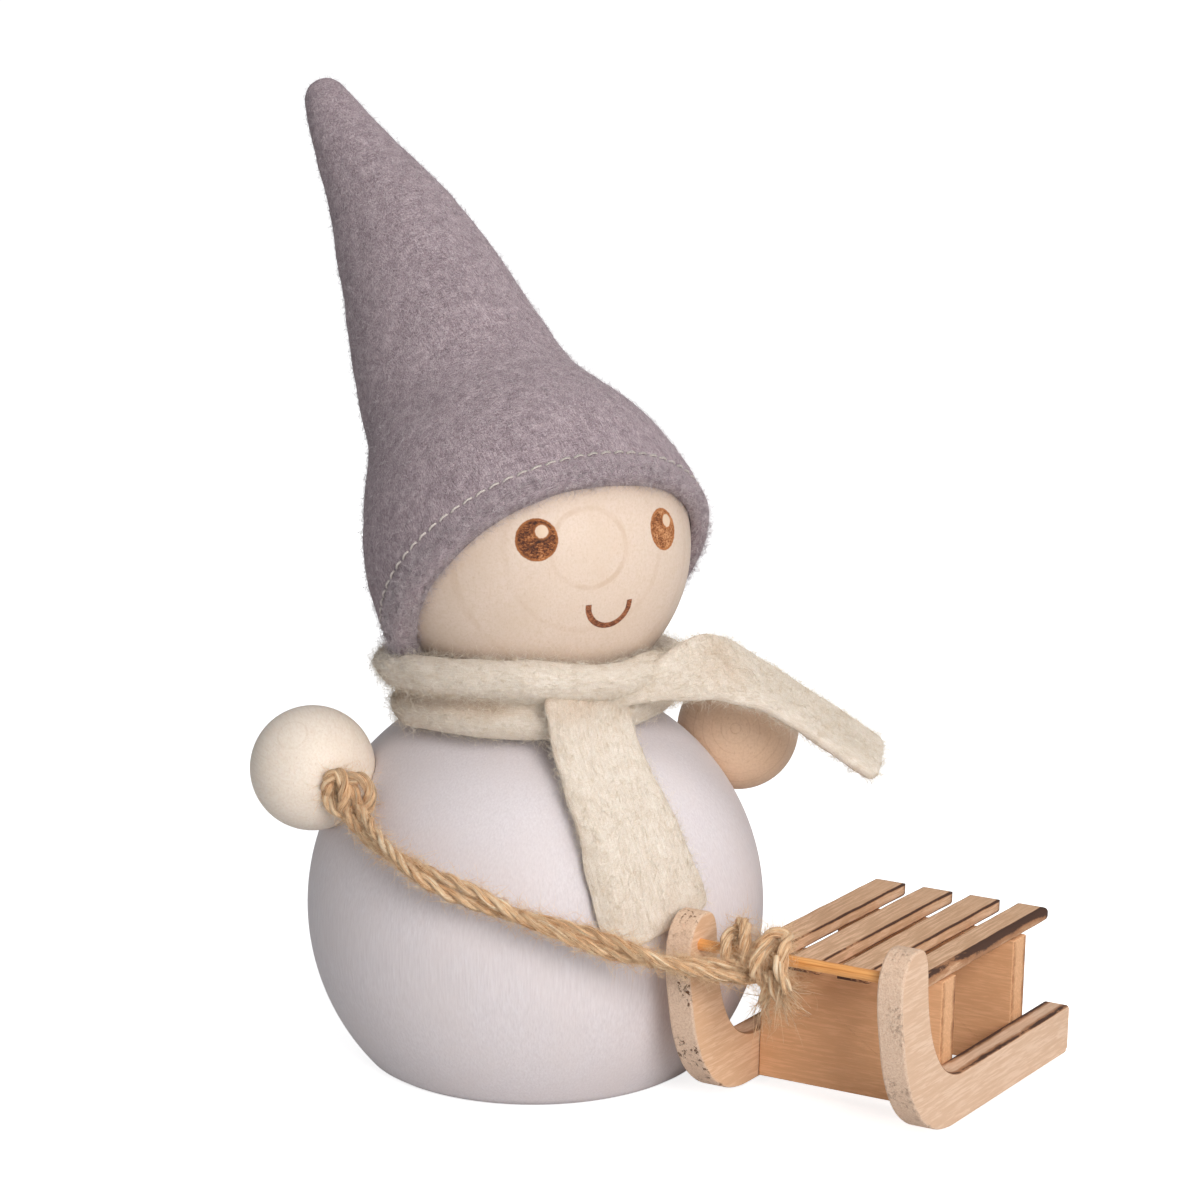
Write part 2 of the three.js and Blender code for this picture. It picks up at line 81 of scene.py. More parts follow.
HEAD_TOP_FACET = 0.14  # how far the faceted head's top lies under the true ball
HEAD = centre_of("head_ball")
HEAD[2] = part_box("head_ball")[1][2] / MM - HEAD_RADIUS + HEAD_TOP_FACET
RIGHT_HAND = centre_of("right_hand_ball")
LEFT_HAND = centre_of("left_hand_ball")


# ------------------------------------------------------------------ small vector tools


def unit(v):
    """Vectors scaled to length one."""
    v = np.asarray(v, float)
    return v / np.maximum(np.linalg.norm(v, axis=-1, keepdims=True), 1e-9)


HAT_AXIS = unit([-0.139, 0.764, 0.63])
HOLE_DIRECTION = unit([0.23, -0.97, -0.06])


def run_along(path):
    """The distance covered at each point of a path."""
    return np.concatenate([[0], np.cumsum(np.linalg.norm(np.diff(path, axis=0), axis=1))])


def smoothstep(x, low, high):
    """0 to 1, eased at both ends, as x goes from low to high."""
    t = np.clip((x - low) / (high - low), 0.0, 1.0)
    return t * t * (3 - 2 * t)


def on_head(azimuth, latitude):
    """The direction from the head's centre: azimuth from the front towards the figure's left, in degrees."""
    a, b = math.radians(azimuth), math.radians(latitude)
    return np.array([math.sin(a) * math.cos(b), -math.cos(a) * math.cos(b), math.sin(b)])


def spline(points, count):
    """Evenly spaced points on a Catmull-Rom curve through the given ones. Works on any number of columns."""
    p = np.asarray(points, float)
    p = np.vstack([2 * p[0] - p[1], p, 2 * p[-1] - p[-2]])
    dense = []
    for i in range(1, len(p) - 2):
        t = np.linspace(0, 1, 24, endpoint=False)[:, None]
        a, b, c, d = p[i - 1], p[i], p[i + 1], p[i + 2]
        square, cube = 2 * a - 5 * b + 4 * c - d, 3 * b - a - 3 * c + d
        dense.append(0.5 * (2 * b + (c - a) * t + square * t**2 + cube * t**3))
    dense = np.vstack(dense + [p[-2][None]])
    run = run_along(dense)
    at = np.linspace(0, run[-1], count)
    return np.stack([np.interp(at, run, dense[:, k]) for k in range(p.shape[1])], axis=1)


def path_frames(path):
    """Tangents and two crosswise directions that don't twist, along an open path."""
    tangent = unit(np.gradient(path, axis=0))
    side = np.zeros_like(path)
    side[0] = unit(np.cross(tangent[0], [0.1, 0.2, 1.0]))
    for i in range(1, len(path)):
        side[i] = unit(side[i - 1] - tangent[i] * np.dot(side[i - 1], tangent[i]))
    return tangent, side, np.cross(tangent, side)


def twisted(path, radius, turn):
    """The path that winds round another one at these angles."""
    _, side, up = path_frames(path)
    turn = np.asarray(turn)[:, None]
    return path + np.broadcast_to(radius, len(path))[:, None] * (np.cos(turn) * side + np.sin(turn) * up)


def tube_ring(centre, radius, a, b, sides):
    """One round ring of a tube, in the plane of the directions a and b."""
    turn = np.linspace(0, TAU, sides, endpoint=False)[:, None]
    return centre + radius * (np.cos(turn) * a + np.sin(turn) * b)


def smoothed(values, reach):
    """The mean of each value of a closed row and its neighbours up to reach places away."""
    return np.mean([np.roll(values, k, axis=0) for k in range(-reach, reach + 1)], axis=0)


def wobble(point, size, seed=0.0):
    """Smooth noise from -1 to 1 whose bumps are about size mm."""
    return noise.noise(Vector((point[0] / size + seed, point[1] / size - seed, point[2] / size + 2 * seed)))


# ------------------------------------------------------------------ meshes


def loft(rings, closed=False):
    """Vertices and faces of a tube through rings of points. It is capped unless it closes on itself."""
    rings = np.asarray(rings, float)
    n, m = rings.shape[:2]
    faces = []
    for i in range(n if closed else n - 1):
        a, b = i * m, ((i + 1) % n) * m
        faces += [(a + j, a + (j + 1) % m, b + (j + 1) % m, b + j) for j in range(m)]
    if not closed:
        faces.append(tuple(range(m - 1, -1, -1)))
        faces.append(tuple(range((n - 1) * m, n * m)))
    return rings.reshape(-1, 3), faces


def lathe(profile, segments):
    """A solid turned about Z from (radius, height) pairs. The first and last pairs lie on the axis."""
    angle = np.linspace(0, TAU, segments, endpoint=False)
    inner = profile[1:-1]
    rings = [np.stack([r * np.cos(angle), r * np.sin(angle), np.full(segments, z)], axis=1) for r, z in inner]
    verts, faces = loft(rings)
    faces = faces[:-2]
    first, last = len(verts), len(verts) + 1
    verts = np.vstack([verts, [[0, 0, profile[0][1]], [0, 0, profile[-1][1]]]])
    top = (len(inner) - 1) * segments
    faces += [(first, (j + 1) % segments, j) for j in range(segments)]
    faces += [(last, top + j, top + (j + 1) % segments) for j in range(segments)]
    return verts, faces


def turn_to(direction):
    """The rotation that takes +Z to a direction."""
    return np.array(Vector((0, 0, 1)).rotation_difference(Vector(direction)).to_matrix())


def add_piece(name, verts, faces, material, body, replaces=(), attributes=None, sharp=None, place=None):
    """A smooth mesh object. place is its own frame as a 4x4 matrix in metres, and verts are in that frame."""
    mesh = bpy.data.meshes.new(name)
    mesh.from_pydata((np.asarray(verts) * MM).tolist(), [], faces)
    for key, values in (attributes or {}).items():
        values = np.asarray(values, np.float32)
        kind = "FLOAT_VECTOR" if values.ndim == 2 else "FLOAT"
        layer = mesh.attributes.new(key, kind, "POINT")
        layer.data.foreach_set("vector" if values.ndim == 2 else "value", values.ravel())
    mesh.validate()
    mesh.shade_smooth()
    if sharp:
        mesh.set_sharp_from_angle(angle=math.radians(sharp))
    mesh.materials.append(material)
    piece = bpy.data.objects.new(name, mesh)
    bpy.context.scene.collection.objects.link(piece)
    if place is not None:
        piece.matrix_world = place
    bpy.context.view_layer.update()
    if body:
        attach(piece, body)
    if replaces:
        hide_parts(*replaces)
    return piece


# ------------------------------------------------------------------ materials


def tint(red, green, blue):
    """Screen colour 0 to 255 as a linear colour."""
    linear = [((c / 255 + 0.055) / 1.055) ** 2.4 if c > 10 else c / 3294 for c in (red, green, blue)]
    return (*linear, 1.0)


def between(a, b, share):
    """The colour that lies this share of the way from a to b."""
    return tuple(x + (y - x) * share for x, y in zip(a, b))


class Graph:
    """The node tree of a material or the world, built by calls that return sockets."""

    def __init__(self, name, kind=bpy.data.materials):
        self.owner = kind.new(name)
        self.owner.use_nodes = True
        self.tree = self.owner.node_tree
        self.tree.nodes.clear()
        self.point = self.vector("SCALE", self.node("TexCoord").outputs["Object"], scale=1 / MM)

    def node(self, kind, inputs=None, **settings):
        """A new node with its settings, and a socket or a value put into each of the inputs."""
        node = self.tree.nodes.new("ShaderNode" + kind)
        for key, value in settings.items():
            setattr(node, key, value)
        for key, value in (inputs or {}).items():
            if isinstance(value, bpy.types.NodeSocket):
                self.tree.links.new(value, node.inputs[key])
            else:
                node.inputs[key].default_value = value
        return node

    def vector(self, operation, a, b=(0, 0, 0), scale=1.0):
        node = self.node("VectorMath", {0: a, 1: b, 3: scale}, operation=operation)
        return node.outputs["Value" if operation in ("DISTANCE", "LENGTH", "DOT_PRODUCT") else "Vector"]

    def math(self, operation, a, b=0.0, c=0.0):
        return self.node("Math", {0: a, 1: b, 2: c}, operation=operation).outputs[0]

    def plus(self, a, b):
        return self.math("ADD", a, b)

    def times(self, a, b):
        return self.math("MULTIPLY", a, b)

    def dot(self, a, b):
        return self.vector("DOT_PRODUCT", a, b)

    def fade(self, value, low, high, to_low=0.0, to_high=1.0):
        inputs = dict(enumerate((value, low, high, to_low, to_high)))
        return self.node("MapRange", inputs, interpolation_type="SMOOTHSTEP").outputs[0]

    def noise(self, size, detail=3.0, roughness=0.55, stretch=(1, 1, 1), point=None, distortion=0.0):
        """Noise whose bumps are about size mm, longer where stretch is larger."""
        scaled = self.vector("DIVIDE", point or self.point, tuple(size * s for s in stretch))
        inputs = {"Vector": scaled, "Scale": 1.0, "Detail": detail, "Roughness": roughness}
        return self.node("TexNoise", {**inputs, "Distortion": distortion}).outputs[0]

    def ramp(self, value, *stops):
        node = self.node("ValToRGB", {0: value})
        elements = node.color_ramp.elements
        while len(elements) < len(stops):
            elements.new(0.5)
        for element, (position, colour) in zip(elements, stops):
            element.position = position
            element.color = colour
        return node.outputs[0]

    def mix(self, factor, a, b):
        return self.node("Mix", {0: factor, 6: a, 7: b}, data_type="RGBA").outputs[2]

    def over(self, colour, top, value, low, high, amount):
        """Lays a colour over another one, by up to amount, as value goes from low to high."""
        return self.mix(self.fade(value, low, high, 0.0, amount), colour, top)

    def attribute(self, name, output="Fac"):
        return self.node("Attribute", attribute_name=name).outputs[output]

    def finish(self, colour, roughness, bumps=(), sheen=0.0, sheen_tint=(1, 1, 1, 1), soft=0.0,
               soft_tint=(1.0, 0.6, 0.4), specular=0.5, **more):
        """Closes the material. bumps are (height, depth in mm) pairs. more goes to the shader as it is."""
        looks = {"Base Color": colour, "Roughness": roughness, "Specular IOR Level": specular,
                 "Sheen Weight": sheen, "Sheen Roughness": 0.4, "Sheen Tint": sheen_tint,
                 "Subsurface Weight": soft, "Subsurface Radius": soft_tint, "Subsurface Scale": 1.5 * MM}
        normal = {}
        for height, depth in bumps:
            bump = self.node("Bump", {"Strength": 1.0, "Distance": depth * MM, "Height": height, **normal})
            normal = {"Normal": bump.outputs[0]}
        shader = self.node("BsdfPrincipled", {**looks, **normal, **more})
        self.node("OutputMaterial", {0: shader.outputs[0]})
        return self.owner

    def rings(self, centre, axis, pitch, first, warp=1.0):
        """0 to 1 growth-ring lines round a tree axis through centre."""
        local = self.vector("SUBTRACT", self.point, tuple(centre))
        along = self.dot(local, tuple(axis))
        foot = self.vector("SCALE", tuple(axis), scale=along)
        radius = self.vector("LENGTH", self.vector("SUBTRACT", local, foot))
        radius = self.math("MULTIPLY_ADD", self.noise(14, 2), warp * 2, radius)
        wave = self.math("COSINE", self.times(self.math("SUBTRACT", radius, first), TAU / pitch))
        line = self.times(self.fade(wave, 0.86, 1.0), self.fade(radius, first * 0.4, first * 0.7))
        line = self.times(line, self.fade(self.noise(7, 2), 0.38, 0.58, 0.35, 1.0))
        return self.times(line, self.fade(radius, first * 1.2, first * 1.8, 1.0, 0.4))


def whitewash():
    """Thin white paint, brushed on so that streaks, flecks and rings of the wood show through."""
    g = Graph("whitewashed_wood")
    streak = g.noise(0.8, 5, 0.65, (0.5, 0.5, 6))
    cloud = g.noise(11, 3, 0.5, (1, 1, 1.6))
    flecks = g.noise(0.35, 2, 0.6, (1, 1, 3.5))
    colour = g.ramp(streak, (0.3, tint(211, 202, 204)), (0.55, tint(221, 213, 215)),
                    (0.8, tint(229, 223, 225)))
    colour = g.over(colour, tint(219, 208, 207), cloud, 0.35, 0.75, 0.4)
    colour = g.over(colour, tint(192, 179, 179), flecks, 0.62, 0.8, 0.2)
    line = g.rings((0, 9, 0), (0, 0, 1), 6.5, 20, 1.6)
    colour = g.mix(g.times(line, 0.10), colour, tint(198, 185, 185))
    return g.finish(colour, g.fade(streak, 0.2, 0.8, 0.62, 0.5), [(streak, 0.018), (flecks, 0.03)],
                    sheen=0.12, soft=0.06, specular=0.3)


def birch(name, light, middle, dark, centre, axis, pitch, strength, marks=None):
    """Bare turned birch round a ball's centre, with growth rings about axis. marks adds burnt drawing."""
    g = Graph(name)
    local = g.vector("SUBTRACT", g.point, tuple(centre))
    along = g.noise(1.0, 4, 0.6, (0.5, 5.5, 0.5), point=local)
    fleck = g.noise(0.28, 2, 0.55, (1.0, 1.0, 3.6), point=local)
    cloud = g.noise(9, 3, 0.5, point=local)
    colour = g.ramp(along, (0.28, middle), (0.6, light))
    colour = g.over(colour, middle, cloud, 0.4, 0.8, 0.45)
    colour = g.over(colour, dark, fleck, 0.56, 0.8, 0.4)
    line = g.rings(centre, axis, pitch, pitch * 1.02)
    colour = g.mix(g.times(line, strength), colour, dark)
    bumps = [(along, 0.03), (fleck, 0.025)]
    rough = 0.52
    if marks:
        colour, burnt = marks(g, local, colour)
        rough = g.fade(burnt, 0, 1, 0.5, 0.8)
        bumps.append((g.times(burnt, g.noise(0.3, 3, 0.7)), 0.12))
    return g.finish(colour, rough, bumps, soft=0.08, soft_tint=(1.0, 0.55, 0.3), specular=0.35)


EYE_RADIUS = 4.5
EYES = (on_head(-16.3, 15.0) * HEAD_RADIUS, on_head(39.0, 12.9) * HEAD_RADIUS)
GLINTS = (on_head(-14.4, 17.9) * HEAD_RADIUS, on_head(42.2, 15.4) * HEAD_RADIUS)
GLINT_RADIUS = 1.35
EYE_SHADES = (-0.01, 0.12)
MOUTH = on_head(11.2, -10.3) * HEAD_RADIUS
MOUTH_RADIUS = 4.9
MOUTH_STROKE = 0.66
MOUTH_TOP = HEAD_RADIUS * math.sin(math.radians(-9.6))


def face_marks(g, local, colour):
    """The burnt eyes and mouth, laid over the bare wood. Returns the colour and where it is burnt."""
    ragged = g.noise(0.5, 2, 0.6)
    edge = g.math("MULTIPLY_ADD", ragged, 0.3, -0.15)
    total = 0.0
    char = g.noise(0.42, 4, 0.75, (1.6, 1.0, 0.8), point=local)
    blotch = g.noise(2.6, 2, 0.5, point=local)
    tone = g.plus(char, g.math("MULTIPLY_ADD", blotch, 0.5, -0.25))
    for eye, glint, shade in zip(EYES, GLINTS, EYE_SHADES):
        away = g.plus(g.vector("DISTANCE", local, tuple(eye)), edge)
        disc = g.fade(away, EYE_RADIUS - 0.12, EYE_RADIUS + 0.12, 1.0, 0.0)
        rim = g.fade(away, EYE_RADIUS - 0.75, EYE_RADIUS - 0.15)
        shine = g.plus(g.vector("DISTANCE", local, tuple(glint)), edge)
        hole = g.fade(shine, GLINT_RADIUS - 0.1, GLINT_RADIUS + 0.18)
        warm = g.fade(shine, GLINT_RADIUS + 0.1, GLINT_RADIUS + 0.8, 1.0, 0.0)
        brown = g.ramp(g.plus(tone, shade), (0.40, tint(62, 38, 30)), (0.5, tint(108, 62, 38)),
                       (0.60, tint(158, 96, 54)), (0.74, tint(206, 150, 104)))
        brown = g.mix(g.times(g.math("MAXIMUM", rim, warm), 0.65), brown, tint(176, 110, 62))
        burnt = g.times(disc, hole)
        colour = g.mix(g.times(disc, 0.75), colour, tint(224, 196, 168))
        colour = g.mix(burnt, colour, brown)
        total = g.math("MAXIMUM", total, burnt)
    off = g.math("SUBTRACT", g.vector("DISTANCE", local, tuple(MOUTH)), MOUTH_RADIUS)
    off = g.plus(g.math("ABSOLUTE", off), g.times(edge, 0.35))
    stroke = g.fade(off, MOUTH_STROKE - 0.1, MOUTH_STROKE + 0.1, 1.0, 0.0)
    height = g.dot(local, (0, 0, 1))
    stroke = g.times(stroke, g.fade(height, MOUTH_TOP - 0.1, MOUTH_TOP + 0.15, 1.0, 0.0))
    brown = g.ramp(tone, (0.40, tint(98, 56, 40)), (0.62, tint(166, 104, 70)))
    colour = g.mix(stroke, colour, brown)
    return colour, g.math("MAXIMUM", total, stroke)


def felt(name, dark, middle, light, long, shade=None, size=1.0):
    """Wool felt: matted fibres in two directions, soft lumps and a pale fuzz at grazing angles."""
    g = Graph(name)
    lump = g.noise(2.6 * size, 4, 0.6)
    lay = g.attribute("lay", "Vector")
    mat_a = g.noise(0.15, 3, 0.7, (long[0], 1, 1), point=lay, distortion=0.7)
    mat_b = g.noise(0.15, 3, 0.7, (1, long[1], 1), point=g.vector("ADD", lay, (40, 70, 9)), distortion=0.7)
    mat = g.times(g.plus(mat_a, mat_b), 0.5)
    tone = g.math("MULTIPLY_ADD", lump, 0.16, g.times(mat, 0.86))
    colour = g.ramp(tone, (0.42, dark), (0.51, middle), (0.60, light))
    # Painted shade: the shade colour is laid over the felt where the mesh's shade weight asks for it, broken
    # up by broad noise.
    if shade:
        broad = g.noise(9, 2, 0.5)
        painted_shade = g.attribute("painted_shade")
        amount = g.times(painted_shade, g.fade(broad, 0.3, 0.7, 0.35, 1.0))
        colour = g.mix(g.times(amount, 0.75), colour, shade)
    return g.finish(colour, 0.95, [(mat, 0.30), (lump, 0.30)], sheen=0.35, sheen_tint=light,
                    soft=0.05, specular=0.08)


def fibre_material(name, dark, light):
    """The loose hairs of felt or jute."""
    g = Graph(name)
    colour = g.ramp(g.noise(1.5, 2, 0.5), (0.35, dark), (0.65, light))
    return g.finish(colour, 0.8, [(g.noise(0.2, 2), 0.02)], sheen=0.2, specular=0.15)


def jute():
    """Twisted jute: long fibres that run along each strand."""
    g = Graph("jute")
    lay = g.attribute("lay", "Vector")
    fine = g.noise(0.16, 4, 0.7, (26, 1, 1), point=lay)
    broad = g.noise(0.7, 2, 0.5, (14, 1, 1), point=lay)
    tone = g.math("MULTIPLY_ADD", broad, 0.45, g.times(fine, 0.6))
    colour = g.ramp(tone, (0.40, tint(160, 108, 68)), (0.47, tint(226, 176, 130)),
                    (0.55, tint(250, 212, 168)), (0.64, tint(255, 240, 214)))
    return g.finish(colour, 0.75, [(fine, 0.34), (broad, 0.25)], sheen=0.15, soft=0.04, specular=0.25)


def plywood(name, light, middle, dark, along, speck, contrast=1.0):
    """Laser-cut birch plywood with its grain along an axis. The attribute burn marks charred edges."""
    g = Graph(name)
    longer = lambda extra: tuple(1 + extra * a for a in along)
    grain = g.noise(0.55, 5, 0.65, longer(13), distortion=0.4)
    broad = g.noise(5.5, 3, 0.5, longer(2.2))
    pore = g.noise(0.22, 2, 0.5, longer(7))
    colour = g.ramp(grain, (0.4 - 0.1 * contrast, between(dark, middle, 1 - 0.35 * contrast)), (0.5, middle),
                    (0.6, light))
    colour = g.over(colour, middle, broad, 0.4, 0.75, 0.55 * contrast)
    colour = g.over(colour, dark, pore, 0.66, 0.8, 0.45 * contrast)
    bumps = [(grain, 0.06 * contrast), (pore, 0.03)]
    if speck:
        end = g.attribute("end")
        coarse = g.noise(0.42, 4, 0.75)
        grey = g.ramp(coarse, (0.3, tint(204, 168, 142)), (0.5, tint(229, 198, 173)),
                      (0.72, tint(243, 218, 195)))
        pits = g.noise(1.25, 4, 0.75)
        patch = g.noise(13.0, 1, 0.5)
        holes = g.times(g.fade(pits, 0.56, 0.60), g.fade(patch, 0.48, 0.56, 0.05, 1.0))
        grey = g.mix(g.times(holes, speck), grey, tint(112, 76, 54))
        colour = g.mix(end, colour, grey)
        bumps.append((g.times(end, g.math("SUBTRACT", coarse, holes)), 0.22))
    burn = g.attribute("burn")
    ragged = g.noise(1.1, 4, 0.7, longer(2.5))
    slow = g.noise(12, 2, 0.5, longer(1))
    heat = g.math("MULTIPLY_ADD", ragged, 1.3, g.math("MULTIPLY_ADD", slow, 2.4, -0.85))
    scorch = g.times(burn, heat)
    colour = g.over(colour, tint(156, 106, 70), scorch, 0.20, 0.60, 0.85)
    colour = g.over(colour, tint(66, 44, 36), scorch, 0.60, 0.88, 0.94)
    return g.finish(colour, g.fade(burn, 0, 1, 0.58, 0.75), bumps, soft=0.04, specular=0.3)


def bamboo():
    """Split bamboo with fine fibres along Y."""
    g = Graph("bamboo")
    fibre = g.noise(0.30, 4, 0.7, (1, 60, 1))
    broad = g.noise(1.2, 2, 0.5, (1, 18, 1))
    tone = g.math("MULTIPLY_ADD", broad, 0.5, g.times(fibre, 0.5))
    colour = g.ramp(tone, (0.36, tint(196, 124, 60)), (0.5, tint(236, 168, 98)), (0.66, tint(248, 200, 134)))
    return g.finish(colour, 0.42, [(fibre, 0.06)], specular=0.5)


def thread():
    """White two-ply sewing thread."""
    g = Graph("white_thread")
    lay = g.attribute("lay", "Vector")
    ply = g.math("SINE", g.dot(lay, (9.0, 4.0, 0)))
    # The colour darkens where the twist sinks between the plies: painted shade in the grooves.
    colour = g.ramp(ply, (0.0, tint(214, 202, 196)), (0.6, tint(250, 241, 232)))
    return g.finish(colour, 0.7, [(ply, 0.05)], sheen=0.2, specular=0.2)


RING_CENTRE = on_head(3.5, 11.2)
WHITEWASH = whitewash()
HEAD_WOOD = birch("birch_head", tint(221, 201, 186), tint(212, 190, 169), tint(190, 158, 128),
                  HEAD, RING_CENTRE, 9.1, 0.42, face_marks)
PALE_WOOD = birch("birch_right_hand", tint(243, 230, 216), tint(233, 216, 199), tint(204, 178, 153),
                  RIGHT_HAND, unit([-0.45, -0.5, 0.75]), 4.2, 0.18)
# The left hand's birch is darker and warmer than the right hand's.
TAN_BIRCH = birch("birch_left_hand", tint(232, 201, 173), tint(222, 189, 159), tint(184, 141, 108),
                   LEFT_HAND, unit([-0.365, -0.89, 0.28]), 2.1, 0.5)
DOWEL_WOOD = birch("dowel", tint(232, 206, 170), tint(220, 190, 150), tint(190, 154, 114),
                   (0, 0, 0), (0, 0, 1), 1.6, 0.3)
GREY_FELT = felt("grey_felt", tint(117, 103, 108), tint(165, 147, 153), tint(212, 196, 200), (8, 14))
# The cream felt's shade colour is painted shade for the scarf's hollow, edges and folds.
CREAM_FELT = felt("cream_felt", tint(219, 204, 186), tint(233, 220, 206), tint(245, 236, 224), (22, 4),
                  shade=tint(196, 158, 122), size=1.6)
GREY_FIBRE = fibre_material("grey_fibre", tint(150, 136, 142), tint(226, 216, 218))
CREAM_FIBRE = fibre_material("cream_fibre", tint(226, 208, 182), tint(252, 246, 234))
JUTE = jute()
JUTE_FIBRE = fibre_material("jute_fibre", tint(214, 166, 120), tint(252, 226, 186))
THREAD = thread()
BAMBOO = bamboo()
PLY_LEFT = plywood("plywood_left_runner", tint(238, 202, 170), tint(226, 186, 150), tint(188, 138, 100),
                   (1, 0, 0), 1.0, 0.5)
PLY_RIGHT = plywood("plywood_right_runner", tint(230, 198, 172), tint(218, 183, 154), tint(180, 136, 102),
                    (1, 0, 0), 0.15, 0.35)
PLY_SLAT = plywood("plywood_slat", tint(234, 194, 160), tint(212, 170, 134), tint(158, 112, 76),
                   (1, 0, 0), 0.0)
PLY_PLATE = plywood("plywood_plate", tint(232, 181, 138), tint(220, 169, 126), tint(186, 134, 92),
                    (0, 1, 0), 0.0, 0.4)


# ------------------------------------------------------------------ loose fibres


ROOT_DEPTH = 0.08


def one_way(*direction):
    """A lay for fibres that all lean the same way."""
    return lambda points: np.tile(unit(direction), (len(points), 1))


def fibres(name, source, count, seed, length, width, lift, material, body, lay=None, keep=None):
    """Short curved hairs on a mesh, each a closed three-sided spike.

    length and lift are ranges. lay(points) gives the way they lean, and keep(points) how densely they grow.
    """
    mesh = source.data
    mesh.calc_loop_triangles()
    points = np.empty((len(mesh.vertices), 3))
    mesh.vertices.foreach_get("co", points.ravel())
    points /= MM
    tris = np.empty((len(mesh.loop_triangles), 3), np.int64)
    mesh.loop_triangles.foreach_get("vertices", tris.ravel())
    a, b, c = points[tris[:, 0]], points[tris[:, 1]], points[tris[:, 2]]
    cross = np.cross(b - a, c - a)
    area = np.linalg.norm(cross, axis=1)
    if keep is not None:
        area = area * keep((a + b + c) / 3)
    rng = np.random.default_rng(seed)
    pick = rng.choice(len(area), count, p=area / area.sum())
    u, v = rng.random((2, count))
    flip = u + v > 1
    u[flip], v[flip] = 1 - u[flip], 1 - v[flip]
    root = a[pick] + (b - a)[pick] * u[:, None] + (c - a)[pick] * v[:, None]
    normal = unit(cross[pick])
    heading = rng.normal(size=(count, 3))
    if lay is not None:
        heading = heading * 0.45 + lay(root) * rng.choice([-1, 1], count)[:, None]
    heading = unit(heading - normal * np.sum(heading * normal, axis=1)[:, None])
    curl = unit(np.cross(heading, normal)) * rng.normal(0, 0.45, count)[:, None]
    size = rng.uniform(*length, count)[:, None]
    rise = rng.uniform(*lift, count)[:, None]
    across = unit(np.cross(heading, normal))
    rings = []
    for s in (0.0, 0.4, 0.75):
        bend = heading * s + normal * rise * math.sin(s * 1.9) + curl * s * s
        centre = root + size * bend - normal * ROOT_DEPTH
        thick = width * (1 - 0.45 * s)
        for k in range(3):
            turn = TAU * k / 3
            rings.append(centre + thick * (across * math.cos(turn) + normal * math.sin(turn)))
    tip = root + size * (heading + normal * rise * math.sin(1.9) + curl)
    verts = np.stack(rings + [tip], axis=1).reshape(-1, 3)
    spike = [(2, 1, 0), (0, 1, 4, 3), (1, 2, 5, 4), (2, 0, 3, 5), (3, 4, 7, 6), (4, 5, 8, 7), (5, 3, 6, 8),
             (6, 7, 9), (7, 8, 9), (8, 6, 9)]
    faces = [tuple(10 * n + q for q in face) for n in range(count) for face in spike]
    return add_piece(name, verts, faces, material, body)


# ------------------------------------------------------------------ wooden balls


NEAR_POLE = 1.55


def ball_profile(radius, low, high, steps):
    """(radius, height) pairs on a ball between two latitudes in radians."""
    return [(radius * math.cos(t), radius * math.sin(t)) for t in np.linspace(low, high, steps)]


def ball(radius, steps, segments):
    """A whole ball round the origin."""
    arc = ball_profile(radius, -NEAR_POLE, NEAR_POLE, steps)
    return lathe([(0, -radius)] + arc + [(0, radius)], segments)


def build_body():
    """The body ball: flat underneath, with a seat for the head and dishes for the hands."""
    flat_latitude = math.asin(-BODY_CENTRE[2] / BODY_RADIUS)
    flat_radius = BODY_RADIUS * math.cos(flat_latitude)
    profile = [(0, 0), (flat_radius * 0.5, 0), (flat_radius - 1.5, 0), (flat_radius - 0.9, 0.05),
               (flat_radius - 0.35, 0.3), (flat_radius + 0.02, 0.75)]
    seat = HEAD_RADIUS + 0.05
    gap = HEAD[2] - BODY_CENTRE[2]
    up = (gap**2 + BODY_RADIUS**2 - seat**2) / (2 * gap)
    top_latitude = math.asin(up / BODY_RADIUS)
    for r, z in ball_profile(BODY_RADIUS, flat_latitude + 0.03, top_latitude, 90):
        profile.append((r, z + BODY_CENTRE[2]))
    rim = math.sqrt(BODY_RADIUS**2 - up**2)
    for k in (0.8, 0.55, 0.3):
        profile.append((rim * k, HEAD[2] - math.sqrt(seat**2 - (rim * k) ** 2)))
    profile.append((0, HEAD[2] - seat))
    verts, faces = lathe(profile, 180)
    for hand in (LEFT_HAND, RIGHT_HAND):
        offset = verts - hand
        away = np.linalg.norm(offset, axis=1)
        inside = away < HAND_RADIUS + 0.05
        verts[inside] = hand + offset[inside] / away[inside, None] * (HAND_RADIUS + 0.05)
    add_piece("white_body", verts, faces, WHITEWASH, "figure", ["body_ball"], sharp=50)


def build_head():
    """The head, with its eyes and mouth burnt a little below the surface."""
    verts, faces = ball(HEAD_RADIUS, 200, 300)
    depth = np.zeros(len(verts))
    for eye, glint in zip(EYES, GLINTS):
        disc = 1 - smoothstep(np.linalg.norm(verts - eye, axis=1), EYE_RADIUS - 0.3, EYE_RADIUS + 0.1)
        depth = np.maximum(depth, disc * smoothstep(np.linalg.norm(verts - glint, axis=1), 1.2, 1.6))
    ring = np.abs(np.linalg.norm(verts - MOUTH, axis=1) - MOUTH_RADIUS)
    mouth = (1 - smoothstep(ring, 0.2, 0.6)) * (verts[:, 2] < MOUTH_TOP)
    depth = np.maximum(depth, mouth)
    verts = verts * (1 - 0.16 * depth / HEAD_RADIUS)[:, None] + HEAD
    add_piece("head", verts, faces, HEAD_WOOD, "figure", ["head_ball"])


